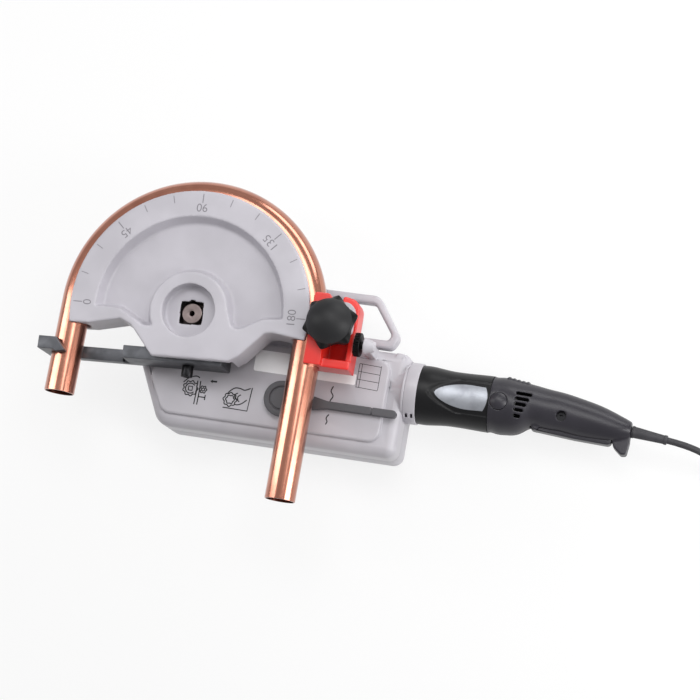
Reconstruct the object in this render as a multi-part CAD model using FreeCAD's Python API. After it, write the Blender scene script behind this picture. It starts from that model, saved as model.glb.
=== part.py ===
import FreeCAD, Part
import math
import os

V = FreeCAD.Vector

# An electric pipe bender lying on its back, with a tube bent to 180 degrees still in it.
# Millimetres. The origin is on the spindle's axis, on the face that the machine rests on.
# +X runs along the gear housing to the motor and handle, +Y away from the tube's legs, +Z up
# along the spindle.

# Workpiece and the bend
tube_diameter = 35.0
tube_wall = 1.3
bend_radius = 140.0
bend_angle = 180.0
tube_plane_z = 118.0
long_leg_length = 197.0
short_leg_length = 112.0

# Bending former
former_thickness = 43.0
former_rim_over = 1.5
former_turned = 3.0
scale_band_width = 30.5
web_thickness = 13.0
web_draft = 5.0
hub_radius = 45.0
hub_counterbore_radius = 31.0
hub_counterbore_depth = 15.0
former_overrun = 9.9
mark_step = 15.0
mark_width = 0.7
mark_depth = 0.5
mark_length = 9.0
mark_count = 13
long_mark_share = 1.15
mark_from_rim = 4.0
key_notch_half = 2.5

# Spindle
spindle_square = 26.0
spindle_square_length = 13.0
spindle_nose_radius = 12.0
spindle_nose_length = 12.0
spindle_collar_radius = 24.0
spindle_collar_height = 7.0
spindle_radius = 18.0
spindle_foot_radius = 12.0
spindle_thread_radius = 3.0
spindle_thread_depth = 16.0

# Hook bar
hook_width = 14.5
hook_neck_bottom = 84.0
hook_neck_top = 99.0
hook_block_top = 128.0
hook_claw_top = 145.0
hook_block_left = -74.0
hook_block_right = 44.0
hook_claw_left = -170.5
hook_claw_right = -149.0
hook_neck_left = -150.0
hook_finger_drop = 6.0
hook_inner_edge = -44.5
hook_notch_width = 7.0
hook_notch_depth = 7.0
hook_screw_radius = 6.7
hook_screw_head = 13.0
hook_screw_shank_radius = 4.0
hook_screw_socket_radius = 3.2
hook_screw_socket_depth = 5.0
hook_screw_thread = 8.0
hook_screw_z = 108.0

# Back former, its clamp and its adjusting screw
back_length_up = 41.0
back_length_down = 42.0
back_outer_x = 194.0
back_wall_thickness = 6.5
back_end_thickness = 10.0
back_wall_top = 125.0
back_jaw_x = 162.5
back_base_top = 104.0
back_corner_top = 125.0
back_corner_left = 172.0
back_gap_y = 28.0
back_travel = 3.0
stud_x = 168.5
stud_y = 5.5
stud_radius = 5.0
stud_head_radius = 7.5
stud_head_height = 6.0
stud_entry_x = 163.0
clamp_block_right = 182.5
clamp_block_down = -9.5
clamp_block_up = 15.0
clamp_plate_right = 191.0
clamp_plate_down = -3.0
clamp_plate_up = 33.0
knob_radius = 26.0
knob_lobes = 6
knob_lobe_radius = 8.5
knob_lobe_circle = 23.9
knob_height = 25.0
knob_lobe_turn = 21.0
knob_neck_radius = 12.0
knob_neck_height = 4.5
knob_dome_radius = 62.0
knob_thread_end = 10.0
collar_radius = 12.0
collar_thickness = 4.0
adjuster_y = -9.5
adjuster_radius = 13.7
adjuster_thickness = 7.0
adjuster_grooves = 24
adjuster_groove_radius = 0.8
adjuster_rim = 1.2
adjuster_screw_radius = 4.5
lug_radius = 9.8
lug_tip_radius = 5.5
lug_length = 13.0
lug_post_length = 9.0
lug_post_half = 7.5
lug_root_z = 72.0
lug_bore_length = 10.0

# Gear housing
foot_height = 4.0
housing_split_z = 44.0
housing_shoulder_z = 78.0
panel_z = 83.0
housing_wall = 4.5
housing_bottom_y = -126.0
housing_top_y = -4.0
housing_right_x = 252.0
housing_head_radius = 66.0
seat_right_x = 176.0
seat_left_x = 134.0
seat_top_y = 46.0
pad_right_x = 183.5
pad_down_y = -36.0
pad_root_z = 72.0
pad_lip = 6.0
panel_step = 14.0
cap_radius = 26.0
foot_radius = 8.0
foot_places = [(25.0, -107.0), (215.0, -107.0), (92.0, 38.0), (-30.0, 32.0)]
bolt_places = [(-50.0, -50.0), (-8.0, -113.0), (118.0, -114.0), (238.0, -112.0), (240.5, -10.5),
               (167.5, 37.5), (62.0, 48.0)]
bolt_boss_radius = 5.5
bolt_reach = 18.0
flange_length = 18.0
flange_step = 3.5
shaft_opening_radius = 7.0
shaft_opening_length = 20.0
seal_radius = 20.5
hub_boss_radius = 37.0
lever_boss_radius = 12.0
guide_half = 8.0
hub_rim_radius = 40.0

# Carrying handle
handle_z = 62.0
handle_depth = 18.0
handle_bar = 10.0
handle_outer_y = 60.0
handle_reach_x = 235.0
handle_foot_y = -0.5
handle_edge = 3.5

# Motor unit
motor_y = -44.5
motor_z = 50.0
neck_radius = 35.5
neck_length = 14.0
neck_slot_pitch = 6.0
neck_slot_width = 3.0
motor_front_radius = 34.5
motor_waist_radius = 31.5
motor_rear_radius = 32.5
motor_shell_wall = 2.8
motor_front_x = 266.0
motor_waist_x = 318.0
motor_seam_x = 349.0
motor_seam_gap = 0.4
stator_length = 52.0
stator_x = 295.0
stator_thickness = 8.0
stator_gap = 0.8
air_gap = 0.8
shaft_radius = 5.0
fan_radius = 26.0
fan_length = 9.0
fan_blades = 12
commutator_radius = 11.0
commutator_length = 14.0
commutator_bars = 24
commutator_gap = 6.0
core_slots = 12
core_slot_half = 1.2
core_slot_depth = 4.0
motor_bearing_radius = 14.0
brush_half_x = 4.0
brush_half_y = 3.0

# Rear handle
handle_end_x = 510.0
handle_end_y = -53.0
grip_wall = 3.0
guard_width = 18.0
guard_drop_y = -82.0
grip_screws = [(431.5, -50.0, 1), (486.0, -49.0, -1)]
grip_screw_depth = 15.0
grip_screw_end = 11.0
grip_screw_head_radius = 5.6
grip_boss_radius = 8.0
grip_seam_turn = 50.0
grip_points = 16
grip_reach = 40.0
brush_cap_radius = 9.8
brush_cap_rise = 3.2
brush_cap_dome = 16.0
paddle_front_x = 397.0
paddle_rear_x = 490.0
paddle_width = 17.0
paddle_stroke = 5.0
paddle_pivot = (403.0, -63.5)
pivot_radius = 2.5
pivot_reach = 11.0
pivot_boss_radius = 4.2
switch_block = (441.0, 479.0, -57.0, -40.0)
switch_half = 9.0
switch_nose_x = 455.0
switch_nose_radius = 3.5
switch_nose_length = 2.9
vent_count = 5
vent_pitch = 6.4
vent_width = 3.6
vent_length = 18.0
vent_start_x = 378.0
vent_top = 12.4
vent_shrink = 2.5
vent_side = 15.0
rib_pitch = 5.4
rib_count = 5
rib_offset = 16.5
rib_radius = 2.4
rib_sunk = 0.5
rib_half_length = 13.0

# Selector lever
lever_x = 114.0
lever_y = -78.0
lever_ring_radius = 20.5
lever_disc_radius = 12.5
lever_thickness = 9.0
lever_length = 135.0
lever_arm_width = 9.0
lever_root_width = 17.0
lever_shaft_radius = 8.0
lever_neck_x = 148.0
lever_taper_x = 168.0
lever_groove_x = 219.0
lever_groove_width = 1.8
lever_arm_drop = 1.5
crank_arm = 14.0
crank_pin_radius = 3.0
crank_thickness = 5.0
rail_radius = 4.0
rail_z = 62.0
rail_guides = (92.0, 151.0)
guide_length = 6.0
sleeve_x = 182.0
sleeve_radius = 12.0
sleeve_groove_radius = 9.0
sleeve_cheek = 6.0
fork_thickness = 5.0
fork_outer_radius = 13.0

# Gear train, from the motor to the spindle
final_module = 2.5
final_teeth = 40
final_pinion_teeth = 12
second_module = 2.0
second_teeth = 38
second_pinion_teeth = 12
bevel_teeth = 30
bevel_pinion_teeth = 10
bevel_module = 1.6
bevel_face = 9.0
bevel_back = 3.0
first_module = 0.8
first_teeth = 40
motor_pinion_teeth = 10
layshaft_z = 56.0
layshaft_radius = 6.0
layshaft_core_radius = 3.0
layshaft_bearing_radius = 12.0
lay_rear_bearing = (235.0, 243.0)
first_gear_x = (212.0, 220.0)
second_gear_z = (35.2, 43.7)
final_gear_z = (20.5, 34.5)
bearing_width = 9.0
upper_bearing = (62.0, 76.0)
upper_bearing_radius = 32.0
lower_bearing_radius = 20.0
shaft_b_radius = 8.0
shaft_b_bearing_radius = 15.0
shaft_b_upper = (62.0, 62.0 + bearing_width)
shaft_c_radius = 7.0
shaft_c_bearing_radius = 14.0
shaft_c_upper = (24.0, 24.0 + bearing_width)
seat_wall = 3.0

# Cord
cord_diameter = 7.6
relief_length = 40.0
relief_root_radius = 6.4
relief_tip_radius = 4.9
relief_turn = 6.0
relief_neck_radius = 4.4
relief_neck_length = 8.0
relief_collar_radius = 7.0
relief_flange = 2.6
arc_share = 0.45
cord_floor_y = -99.0
coil_start_x = 700.0
coil_turns_each_layer = 4
coil_outer_radius = 61.0
coil_pitch = 8.3
coil_layer_rise = 8.2
plug_pin_radius = 2.4
plug_pin_length = 19.0
plug_pin_spacing = 19.0
plug_half_width = 18.5
plug_half_height = 13.0
plug_length = 36.0
plug_mouth_half = 6.5
plug_shoulder = 14.0

# Clearances
running_fit = 0.05
seat_fit = 0.1
moving_gap = 0.3
screw_head_radius = 4.5
screw_head_height = 3.0
screw_shank_radius = 2.4
screw_socket_radius = 2.2
screw_socket_depth = 2.4

# Worked out from the sizes above
tube_radius = tube_diameter / 2
groove_radius = tube_radius + moving_gap
sleeve_groove = fork_thickness + 2 * moving_gap
rim_radius = bend_radius + former_rim_over
former_back_z = tube_plane_z - former_thickness / 2
former_front_z = tube_plane_z + former_thickness / 2
counterbore_z = former_front_z - hub_counterbore_depth
back_bottom_z = former_back_z - moving_gap
back_top_z = former_front_z
mount_plane_z = back_bottom_z
motor_neck_x = motor_front_x - neck_length
pinion_b_distance = final_module * (final_teeth + final_pinion_teeth) / 2
shaft_b_y = -25.0
shaft_b_x = math.sqrt(pinion_b_distance ** 2 - shaft_b_y ** 2)
first_distance = first_module * (first_teeth + motor_pinion_teeth) / 2
layshaft_y = motor_y + math.sqrt(first_distance ** 2 - (layshaft_z - motor_z) ** 2)
shaft_c_y = layshaft_y
second_distance = second_module * (second_teeth + second_pinion_teeth) / 2
shaft_c_x = shaft_b_x + math.sqrt(second_distance ** 2 - (shaft_c_y - shaft_b_y) ** 2)
floor_z = foot_height + housing_wall
floor_bearing = (floor_z, floor_z + bearing_width)
disc_x = back_outer_x + moving_gap
lug_x = disc_x + adjuster_thickness + back_travel + moving_gap
knob_base_z = back_top_z + collar_thickness
knob_top_z = knob_base_z + knob_neck_height + knob_height
rail_y = lever_y + crank_arm
bolt_top = housing_split_z + bolt_reach
stud_head_top = mount_plane_z - pad_lip - moving_gap
parts = {}


def box(x0, x1, y0, y1, z0, z1):
    return Part.makeBox(x1 - x0, y1 - y0, z1 - z0, V(x0, y0, z0))


def rod(radius, start, end):
    along = V(*end) - V(*start)
    return Part.makeCylinder(radius, along.Length, V(*start), along)


def cone(radius_start, radius_end, start, end):
    along = V(*end) - V(*start)
    return Part.makeCone(radius_start, radius_end, along.Length, V(*start), along)


def post(radius, x, y, z0, z1):
    """A round post along Z."""
    return rod(radius, (x, y, z0), (x, y, z1))


def bar_x(radius, x0, x1, y, z):
    """A round bar along X."""
    return rod(radius, (x0, y, z), (x1, y, z))


def tube_z(outer, inner, x, y, z0, z1):
    return post(outer, x, y, z0, z1).cut(post(inner, x, y, z0, z1))


def tube_x(outer, inner, x0, x1, y, z):
    return bar_x(outer, x0, x1, y, z).cut(bar_x(inner, x0, x1, y, z))


def outline(corners, z=0.0):
    """A closed wire through corners (x, y, rounding), each rounded by its own arc."""
    count = len(corners)
    edges = []
    ends = []
    for i in range(count):
        x, y, r = corners[i]
        here = V(x, y, z)
        before = V(corners[i - 1][0], corners[i - 1][1], z) - here
        after = V(corners[(i + 1) % count][0], corners[(i + 1) % count][1], z) - here
        if r <= 0:
            ends.append((here, here, None))
            continue
        before.normalize()
        after.normalize()
        half = before.getAngle(after) / 2
        reach = r / math.tan(half)
        middle = before + after
        middle.normalize()
        centre = here + middle * (r / math.sin(half))
        ends.append((here + before * reach, here + after * reach, centre - middle * r))
    for i in range(count):
        first, last, mid = ends[i]
        if mid is not None:
            edges.append(Part.Arc(first, mid, last).toShape())
        start_of_next = ends[(i + 1) % count][0]
        if last.distanceToPoint(start_of_next) > 1e-6:
            edges.append(Part.LineSegment(last, start_of_next).toShape())
    return Part.Wire(edges)


def slab(corners, z0, z1):
    return Part.Face(outline(corners, z0)).extrude(V(0, 0, z1 - z0))


def soften(shape, radius, pick):
    """Rounds the edges that pick chooses by their middle point and their length."""
    chosen = []
    for edge in shape.Edges:
        middle = edge.valueAt((edge.FirstParameter + edge.LastParameter) / 2)
        if pick(middle, edge):
            chosen.append(edge)
    if not chosen:
        return shape
    return shape.makeFillet(radius, chosen)


def level(z):
    """Picks the edges that lie wholly at height z."""
    def test(middle, edge):
        box_of_edge = edge.BoundBox
        return abs(box_of_edge.ZMin - z) < 1e-3 and abs(box_of_edge.ZMax - z) < 1e-3
    return test


def turned(shape, degrees, centre=(0, 0, 0), axis=(0, 0, 1)):
    copy = shape.copy()
    copy.rotate(V(*centre), V(*axis), degrees)
    return copy


def fuse(shapes):
    result = shapes[0]
    if len(shapes) > 1:
        result = shapes[0].fuse(shapes[1:])
    return result.removeSplitter()


def gear(module, teeth, z0, z1, bore, phase=0.0):
    """A spur gear about Z with straight-sided teeth that leave play at the pitch circle."""
    pitch_radius = module * teeth / 2
    tip = pitch_radius + 0.8 * module
    root = pitch_radius - 1.1 * module
    step = 2 * math.pi / teeth
    points = []
    for i in range(teeth):
        a = i * step + phase
        for radius, share in ((root, -0.34), (tip, -0.13), (tip, 0.13), (root, 0.34)):
            angle = a + share * step
            points.append(V(radius * math.cos(angle), radius * math.sin(angle), z0))
    points.append(points[0])
    blank = Part.Face(Part.makePolygon(points)).extrude(V(0, 0, z1 - z0))
    return blank.cut(Part.makeCylinder(bore, z1 - z0, V(0, 0, z0)))


def along_x(shape, x, y, z):
    """Lays a shape built about Z along +X, with its origin at x, y, z."""
    copy = turned(shape, 90, axis=(0, 1, 0))
    copy.translate(V(x, y, z))
    return copy


def moved(shape, x, y, z=0.0):
    copy = shape.copy()
    copy.translate(V(x, y, z))
    return copy


def ball_bearing(bore, outer, z0, z1):
    """Two rings with a closed cage between them, about Z."""
    inner_ring = Part.makeCylinder(bore + 0.3 * (outer - bore), z1 - z0, V(0, 0, z0))
    outer_ring = Part.makeCylinder(outer, z1 - z0, V(0, 0, z0))
    cage = Part.makeCylinder(outer - 0.3 * (outer - bore), z1 - z0 - 1.0, V(0, 0, z0 + 0.5))
    hollow = Part.makeCylinder(outer - 0.3 * (outer - bore), z1 - z0, V(0, 0, z0))
    solid = outer_ring.cut(hollow).fuse([cage, inner_ring]).removeSplitter()
    return solid.cut(Part.makeCylinder(bore, z1 - z0, V(0, 0, z0)))


# Bent tube: one annulus turned about the spindle, with a straight leg at each end.
def bent_tube(radius, wall):
    centre = V(bend_radius, 0, tube_plane_z)
    ring = Part.Face(Part.Wire(Part.makeCircle(radius, centre, V(0, 1, 0))))
    if wall > 0:
        ring = ring.cut(Part.Face(Part.Wire(Part.makeCircle(radius - wall, centre, V(0, 1, 0)))))
    arc = ring.revolve(V(0, 0, 0), V(0, 0, 1), bend_angle)
    long_leg = ring.extrude(V(0, -long_leg_length, 0))
    other_end = turned(ring, bend_angle)
    short_leg = other_end.extrude(V(0, -short_leg_length, 0))
    return fuse([arc, long_leg, short_leg])


parts["copper_tube"] = bent_tube(tube_radius, tube_wall)


# Bending former: a half disc with a grooved rim, a scale band, a thin web and a square hub.
def former_profile():
    a = math.radians(former_overrun)
    right = V(rim_radius * math.cos(a), -rim_radius * math.sin(a), former_back_z)
    left = V(-right.x, right.y, former_back_z)
    top = V(0, rim_radius, former_back_z)
    lower = [(-116, -24), (-79, -16), (-65, -22.5), (-37, -55.5), (54, -55.5), (66, -48), (92, -20),
             (101, -18.5)]
    points = [left] + [V(x, y, former_back_z) for x, y in lower] + [right]
    edges = [Part.Arc(right, top, left).toShape()]
    for i in range(len(points) - 1):
        edges.append(Part.LineSegment(points[i], points[i + 1]).toShape())
    return Part.Wire(edges)


def recess(z_floor, z_mouth):
    """The space between the scale band, the hub and the lower land, narrower at its floor."""
    band = rim_radius - scale_band_width
    space = cone(band - web_draft, band, (0, 0, z_floor), (0, 0, z_mouth))
    hub = cone(hub_radius + web_draft, hub_radius, (0, 0, z_floor), (0, 0, z_mouth))
    land = [(-130, -3.6, 0), (-82, -3.7, 9), (-51, -22, 9), (-30, -22, 0), (-30, 10, 0), (43, 11, 0),
            (53, -17, 8), (63, -18, 8), (87, -4.6, 9), (130, -0.8, 0), (130, -130, 0), (-130, -130, 0)]
    low_land = [(x, y + web_draft, r) for x, y, r in land]
    wires = [outline(low_land, z_floor), outline(land, z_mouth)]
    return space.cut([Part.makeLoft(wires, True, True), hub]).Solids[0]


def bending_former():
    body = Part.Face(former_profile()).extrude(V(0, 0, former_thickness))
    web_top = tube_plane_z + web_thickness / 2
    web_bottom = tube_plane_z - web_thickness / 2
    front = recess(web_top, former_front_z)
    back = recess(web_bottom, former_back_z)
    groove = Part.makeTorus(bend_radius, groove_radius, V(0, 0, tube_plane_z), V(0, 0, 1))
    bore = post(hub_counterbore_radius, 0, 0, counterbore_z, former_front_z + 1)
    half = spindle_square / 2
    square = box(-half, half, -half, half, former_back_z - 1, former_front_z)
    notch = box(-key_notch_half, key_notch_half, half - 1, half + key_notch_half, former_back_z - 1,
                former_front_z)
    # The hook bar's block lies in a channel behind the flat lower edge.
    channel = box(hook_block_left - 3, hook_block_right + 12, -80, hook_inner_edge + seat_fit,
                  former_back_z - 1, hook_block_top + 1)
    screw_hole = rod(hook_screw_shank_radius + seat_fit, (0, hook_inner_edge - 1, hook_screw_z),
                     (0, hook_inner_edge + 9, hook_screw_z))
    marks = []
    for i in range(mark_count):
        length = mark_length * (long_mark_share if i % 3 == 0 else 1.0)
        outer = rim_radius - mark_from_rim
        mark = box(outer - length, outer, -mark_width / 2, mark_width / 2,
                   former_front_z - mark_depth, former_front_z + 1)
        marks.append(turned(mark, i * mark_step))
    body = soften(body, 1.5, level(former_front_z))
    body = body.cut([front, back, groove, bore, square, notch, channel, screw_hole] + marks)
    return turned(body, former_turned)


parts["bending_former"] = bending_former()


# Hook bar: a milled steel bar whose claw holds the start of the tube against the former.
def hook_bar():
    low = hook_inner_edge - hook_width
    high = hook_inner_edge
    block = box(hook_block_left, hook_block_right, low, high, former_back_z + seat_fit, hook_block_top)
    neck = box(hook_neck_left, hook_block_right, low, high, hook_neck_bottom, hook_neck_top)
    notch = box(hook_block_left - hook_notch_width, hook_block_left, low - 1, high + 1,
                hook_neck_top - hook_notch_depth, hook_neck_top + 1)
    claw = box(hook_claw_left, hook_claw_right, low, high, hook_neck_bottom, hook_claw_top)
    tip = [(-152, high, 0), (-149.6, high, 0), (-137.3, low - 0.5, 1), (-148.5, low - 2.5, 1),
           (-152, low, 0)]
    finger = slab(tip, tube_plane_z + tube_radius - hook_finger_drop, hook_claw_top)
    bar = fuse([block, neck, claw, finger]).cut(notch)
    hole = rod(hook_screw_shank_radius + seat_fit, (0, low - 1, hook_screw_z),
               (0, high + 1, hook_screw_z))
    bar = bar.cut(hole)
    bar = turned(bar, former_turned)
    return bar.cut(bent_tube(groove_radius, 0))


def hook_screw():
    low = hook_inner_edge - hook_width
    top = low - hook_screw_head
    head = rod(hook_screw_radius, (0, top, hook_screw_z), (0, low, hook_screw_z))
    socket = rod(hook_screw_socket_radius, (0, top - 1, hook_screw_z),
                 (0, top + hook_screw_socket_depth, hook_screw_z))
    shank = rod(hook_screw_shank_radius, (0, low, hook_screw_z),
                (0, hook_inner_edge + hook_screw_thread, hook_screw_z))
    return turned(fuse([head, shank]).cut(socket), former_turned)


parts["hook_bar"] = hook_bar()
parts["hook_screw"] = hook_screw()

# Spindle: turned steel, with the square that drives the former and a collar that carries it.
square_half = spindle_square / 2 - running_fit
square_top = former_back_z + spindle_square_length
nose_top = square_top + spindle_nose_length


def spindle():
    foot = post(spindle_foot_radius, 0, 0, floor_bearing[0] + 0.5, floor_bearing[1] + 1)
    shaft = post(spindle_radius, 0, 0, floor_bearing[1] + 1, former_back_z - spindle_collar_height)
    collar = post(spindle_collar_radius, 0, 0, former_back_z - spindle_collar_height, former_back_z)
    square = box(-square_half, square_half, -square_half, square_half, former_back_z, square_top)
    nose = post(spindle_nose_radius, 0, 0, square_top, nose_top)
    nose = soften(nose, 1.2, level(nose_top))
    hole = post(spindle_thread_radius, 0, 0, nose_top - spindle_thread_depth, nose_top + 1)
    body = fuse([foot, shaft, collar, square, nose]).cut(hole)
    return turned(body, former_turned)


parts["spindle"] = spindle()
final_gear = gear(final_module, final_teeth, *final_gear_z, spindle_radius + seat_fit)
parts["final_gear"] = turned(final_gear, former_turned)
parts["spindle_bearings"] = Part.makeCompound([
    ball_bearing(spindle_foot_radius + running_fit, lower_bearing_radius, floor_bearing[0], floor_bearing[1]),
    ball_bearing(spindle_radius + running_fit, upper_bearing_radius, upper_bearing[0], upper_bearing[1])])


def mesh_phase(teeth, towards, other_phase, other_teeth):
    """The phase that puts a tooth gap of this gear where the other gear has a tooth."""
    facing = towards + math.pi
    other_step = 2 * math.pi / other_teeth
    offset = (towards - other_phase) / other_step
    offset -= math.floor(offset + 0.5)
    step = 2 * math.pi / teeth
    return facing + step / 2 + offset * step


# Intermediate shaft B: the pinion that drives the final gear, and the second gear.
b_towards = math.atan2(shaft_b_y, shaft_b_x)
b_phase = mesh_phase(final_pinion_teeth, b_towards, math.radians(former_turned), final_teeth)
pinion_b = gear(final_module, final_pinion_teeth, final_gear_z[0] - 1, final_gear_z[1] + 0.3,
                shaft_b_radius, b_phase)
axle_b = post(shaft_b_radius, 0, 0, floor_bearing[0] + 0.5, shaft_b_upper[1] - 0.5)
parts["second_pinion_shaft"] = moved(fuse([pinion_b, axle_b]), shaft_b_x, shaft_b_y)
second_gear = gear(second_module, second_teeth, *second_gear_z, shaft_b_radius + seat_fit)
second_gear = second_gear.cut([turned(post(6.5, 23, 0, 0, 99), 60 * i) for i in range(6)])
parts["second_gear"] = moved(second_gear, shaft_b_x, shaft_b_y)

# Intermediate shaft C: the pinion that drives the second gear, and the bevel gear above it.
c_towards = math.atan2(shaft_c_y - shaft_b_y, shaft_c_x - shaft_b_x)
c_phase = mesh_phase(second_pinion_teeth, c_towards, 0.0, second_teeth)
pinion_c = gear(second_module, second_pinion_teeth, second_gear_z[0] - 1, second_gear_z[1] + 0.5,
                shaft_c_radius, c_phase)
bevel_radius = bevel_module * bevel_teeth / 2
bevel_pinion_radius = bevel_module * bevel_pinion_teeth / 2
bevel_pitch_z = layshaft_z - bevel_pinion_radius
axle_c = post(shaft_c_radius, 0, 0, floor_bearing[0] + 0.5, bevel_pitch_z + 2.5)
parts["third_pinion_shaft"] = moved(fuse([pinion_c, axle_c]), shaft_c_x, shaft_c_y)


def bevel(radius, other_radius, teeth, face_width, bore, clearance):
    """A bevel gear about Z with its apex at the origin and its big end at -other_radius."""
    slant = math.hypot(radius, other_radius)
    share = 1 - face_width / slant
    big = radius - clearance
    small = big * share
    z_big = -other_radius
    z_small = -other_radius * share
    blank = cone(big, small, (0, 0, z_big), (0, 0, z_small))
    back = cone(big - bevel_back, big, (0, 0, z_big - bevel_back), (0, 0, z_big))
    body = fuse([blank, back])
    cuts = []
    for i in range(teeth):
        width = math.pi * radius / teeth * 0.42
        cut = box(small * 0.6, radius + 5, -width, width, -1.0, 6.0)
        cut = turned(cut, math.degrees(math.atan2(other_radius, radius)), axis=(0, 1, 0))
        cuts.append(turned(cut, (i + 0.5) * 360.0 / teeth))
    body = body.cut(cuts)
    return body.cut(post(bore, 0, 0, z_big - 4, 1))


bevel_play = 0.25
bevel_gear = bevel(bevel_radius, bevel_pinion_radius, bevel_teeth, bevel_face, shaft_c_radius + seat_fit,
                   bevel_play)
parts["bevel_gear"] = moved(bevel_gear, shaft_c_x, shaft_c_y, layshaft_z)

# Layshaft: it carries the bevel pinion, the dog sleeve that the selector moves, and the first gear.
lay_front_bearing = (shaft_c_x + bevel_radius + 6.0, shaft_c_x + bevel_radius + 14.0)
bevel_pinion = bevel(bevel_pinion_radius, bevel_radius, bevel_pinion_teeth, bevel_face,
                     layshaft_core_radius, bevel_play)
bevel_pinion = turned(bevel_pinion, -90, axis=(0, 1, 0))
bevel_pinion.translate(V(shaft_c_x, layshaft_y, layshaft_z))
core_start = shaft_c_x + bevel_radius * (1 - bevel_face / math.hypot(bevel_radius, bevel_pinion_radius))
core_end = shaft_c_x + bevel_radius + bevel_back
parts["layshaft"] = fuse([
    bevel_pinion,
    bar_x(layshaft_core_radius, core_start, core_end, layshaft_y, layshaft_z),
    bar_x(layshaft_radius, core_end, lay_rear_bearing[1] - 0.5, layshaft_y, layshaft_z)])
first_phase = 0.0
first_gear = gear(first_module, first_teeth, 0, first_gear_x[1] - first_gear_x[0],
                  layshaft_radius + seat_fit)
parts["first_gear"] = along_x(first_gear, first_gear_x[0], layshaft_y, layshaft_z)
groove_start = sleeve_x - sleeve_groove / 2
groove_end = sleeve_x + sleeve_groove / 2
sleeve_bore = layshaft_radius + seat_fit
parts["dog_sleeve"] = fuse([
    tube_x(sleeve_radius, sleeve_bore, groove_start - sleeve_cheek, groove_start, layshaft_y, layshaft_z),
    tube_x(sleeve_groove_radius, sleeve_bore, groove_start, groove_end, layshaft_y, layshaft_z),
    tube_x(sleeve_radius, sleeve_bore, groove_end, groove_end + sleeve_cheek, layshaft_y, layshaft_z)])

# Armature: shaft with its pinion, laminated core, commutator and fan.
armature_start = first_gear_x[0] - 1
motor_front_bearing = (motor_neck_x + 1.5, motor_neck_x + 10.5)
motor_rear_bearing = (motor_seam_x + 21.5, motor_seam_x + 27.5)
stator_end = stator_x + stator_length
pinion_length = first_gear_x[1] - first_gear_x[0] + 3
# along_x turns +X of the flat gear to -Z and keeps +Y, so angles are measured in that plane
flat_towards = math.atan2(motor_y - layshaft_y, -(motor_z - layshaft_z))
pinion_phase = mesh_phase(motor_pinion_teeth, flat_towards, first_phase, first_teeth)
motor_pinion = gear(first_module, motor_pinion_teeth, 0, pinion_length, 1.5, pinion_phase)
motor_pinion = along_x(motor_pinion, armature_start, motor_y, motor_z)
parts["armature_shaft"] = fuse([
    motor_pinion,
    bar_x(1.5, armature_start, armature_start + pinion_length, motor_y, motor_z),
    bar_x(shaft_radius, armature_start + pinion_length, motor_rear_bearing[1] - 0.5, motor_y, motor_z)])
stator_outer = motor_waist_radius - motor_shell_wall - stator_gap
core_radius = stator_outer - stator_thickness - air_gap


def armature_core():
    core = tube_x(core_radius, shaft_radius + seat_fit, stator_x + 2, stator_end - 2, motor_y, motor_z)
    slots = []
    for i in range(core_slots):
        slot = box(stator_x - 1, stator_end + 1, motor_y - core_slot_half, motor_y + core_slot_half,
                   motor_z + core_radius - core_slot_depth, motor_z + core_radius + 2)
        slots.append(turned(slot, 360.0 / core_slots * i, (0, motor_y, motor_z), (1, 0, 0)))
    return core.cut(slots)


def commutator():
    start = stator_end + commutator_gap
    end = start + commutator_length
    ring = tube_x(commutator_radius, shaft_radius + seat_fit, start, end, motor_y, motor_z)
    slots = []
    for i in range(commutator_bars):
        slot = box(start - 1, end + 1, motor_y - 0.3, motor_y + 0.3,
                   motor_z + commutator_radius - 1, motor_z + commutator_radius + 1)
        slots.append(turned(slot, 360.0 / commutator_bars * i, (0, motor_y, motor_z), (1, 0, 0)))
    return ring.cut(slots)


def motor_fan():
    start = stator_x - fan_length - 4
    hub = tube_x(9.0, shaft_radius + seat_fit, start, start + fan_length, motor_y, motor_z)
    disc = tube_x(fan_radius, 8.0, start, start + 2, motor_y, motor_z)
    blades = []
    for i in range(fan_blades):
        blade = box(start, start + fan_length, motor_y - 0.8, motor_y + 0.8,
                    motor_z + 8, motor_z + fan_radius - 1)
        blades.append(turned(blade, 360.0 / fan_blades * i, (0, motor_y, motor_z), (1, 0, 0)))
    return fuse([hub, disc] + blades)


parts["armature_core"] = armature_core()
parts["commutator"] = commutator()
parts["motor_fan"] = motor_fan()
parts["stator"] = tube_x(stator_outer, stator_outer - stator_thickness, stator_x, stator_end,
                         motor_y, motor_z)

# Carbon brushes in brass boxes, one above and one below the commutator
brush_x = stator_end + commutator_gap + commutator_length / 2
brush_sets = []
for side in (1, -1):
    near = motor_z + side * (commutator_radius + moving_gap)
    far = motor_z + side * (motor_rear_radius - motor_shell_wall - moving_gap)
    brush_sets.append(box(brush_x - brush_half_x, brush_x + brush_half_x, motor_y - brush_half_y,
                          motor_y + brush_half_y, min(near, far), max(near, far)))
parts["brush_holders"] = Part.makeCompound(brush_sets)


def bearing_along_x(bore, outer, span):
    return along_x(ball_bearing(bore, outer, 0, span[1] - span[0]), span[0], 0, 0)


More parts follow.
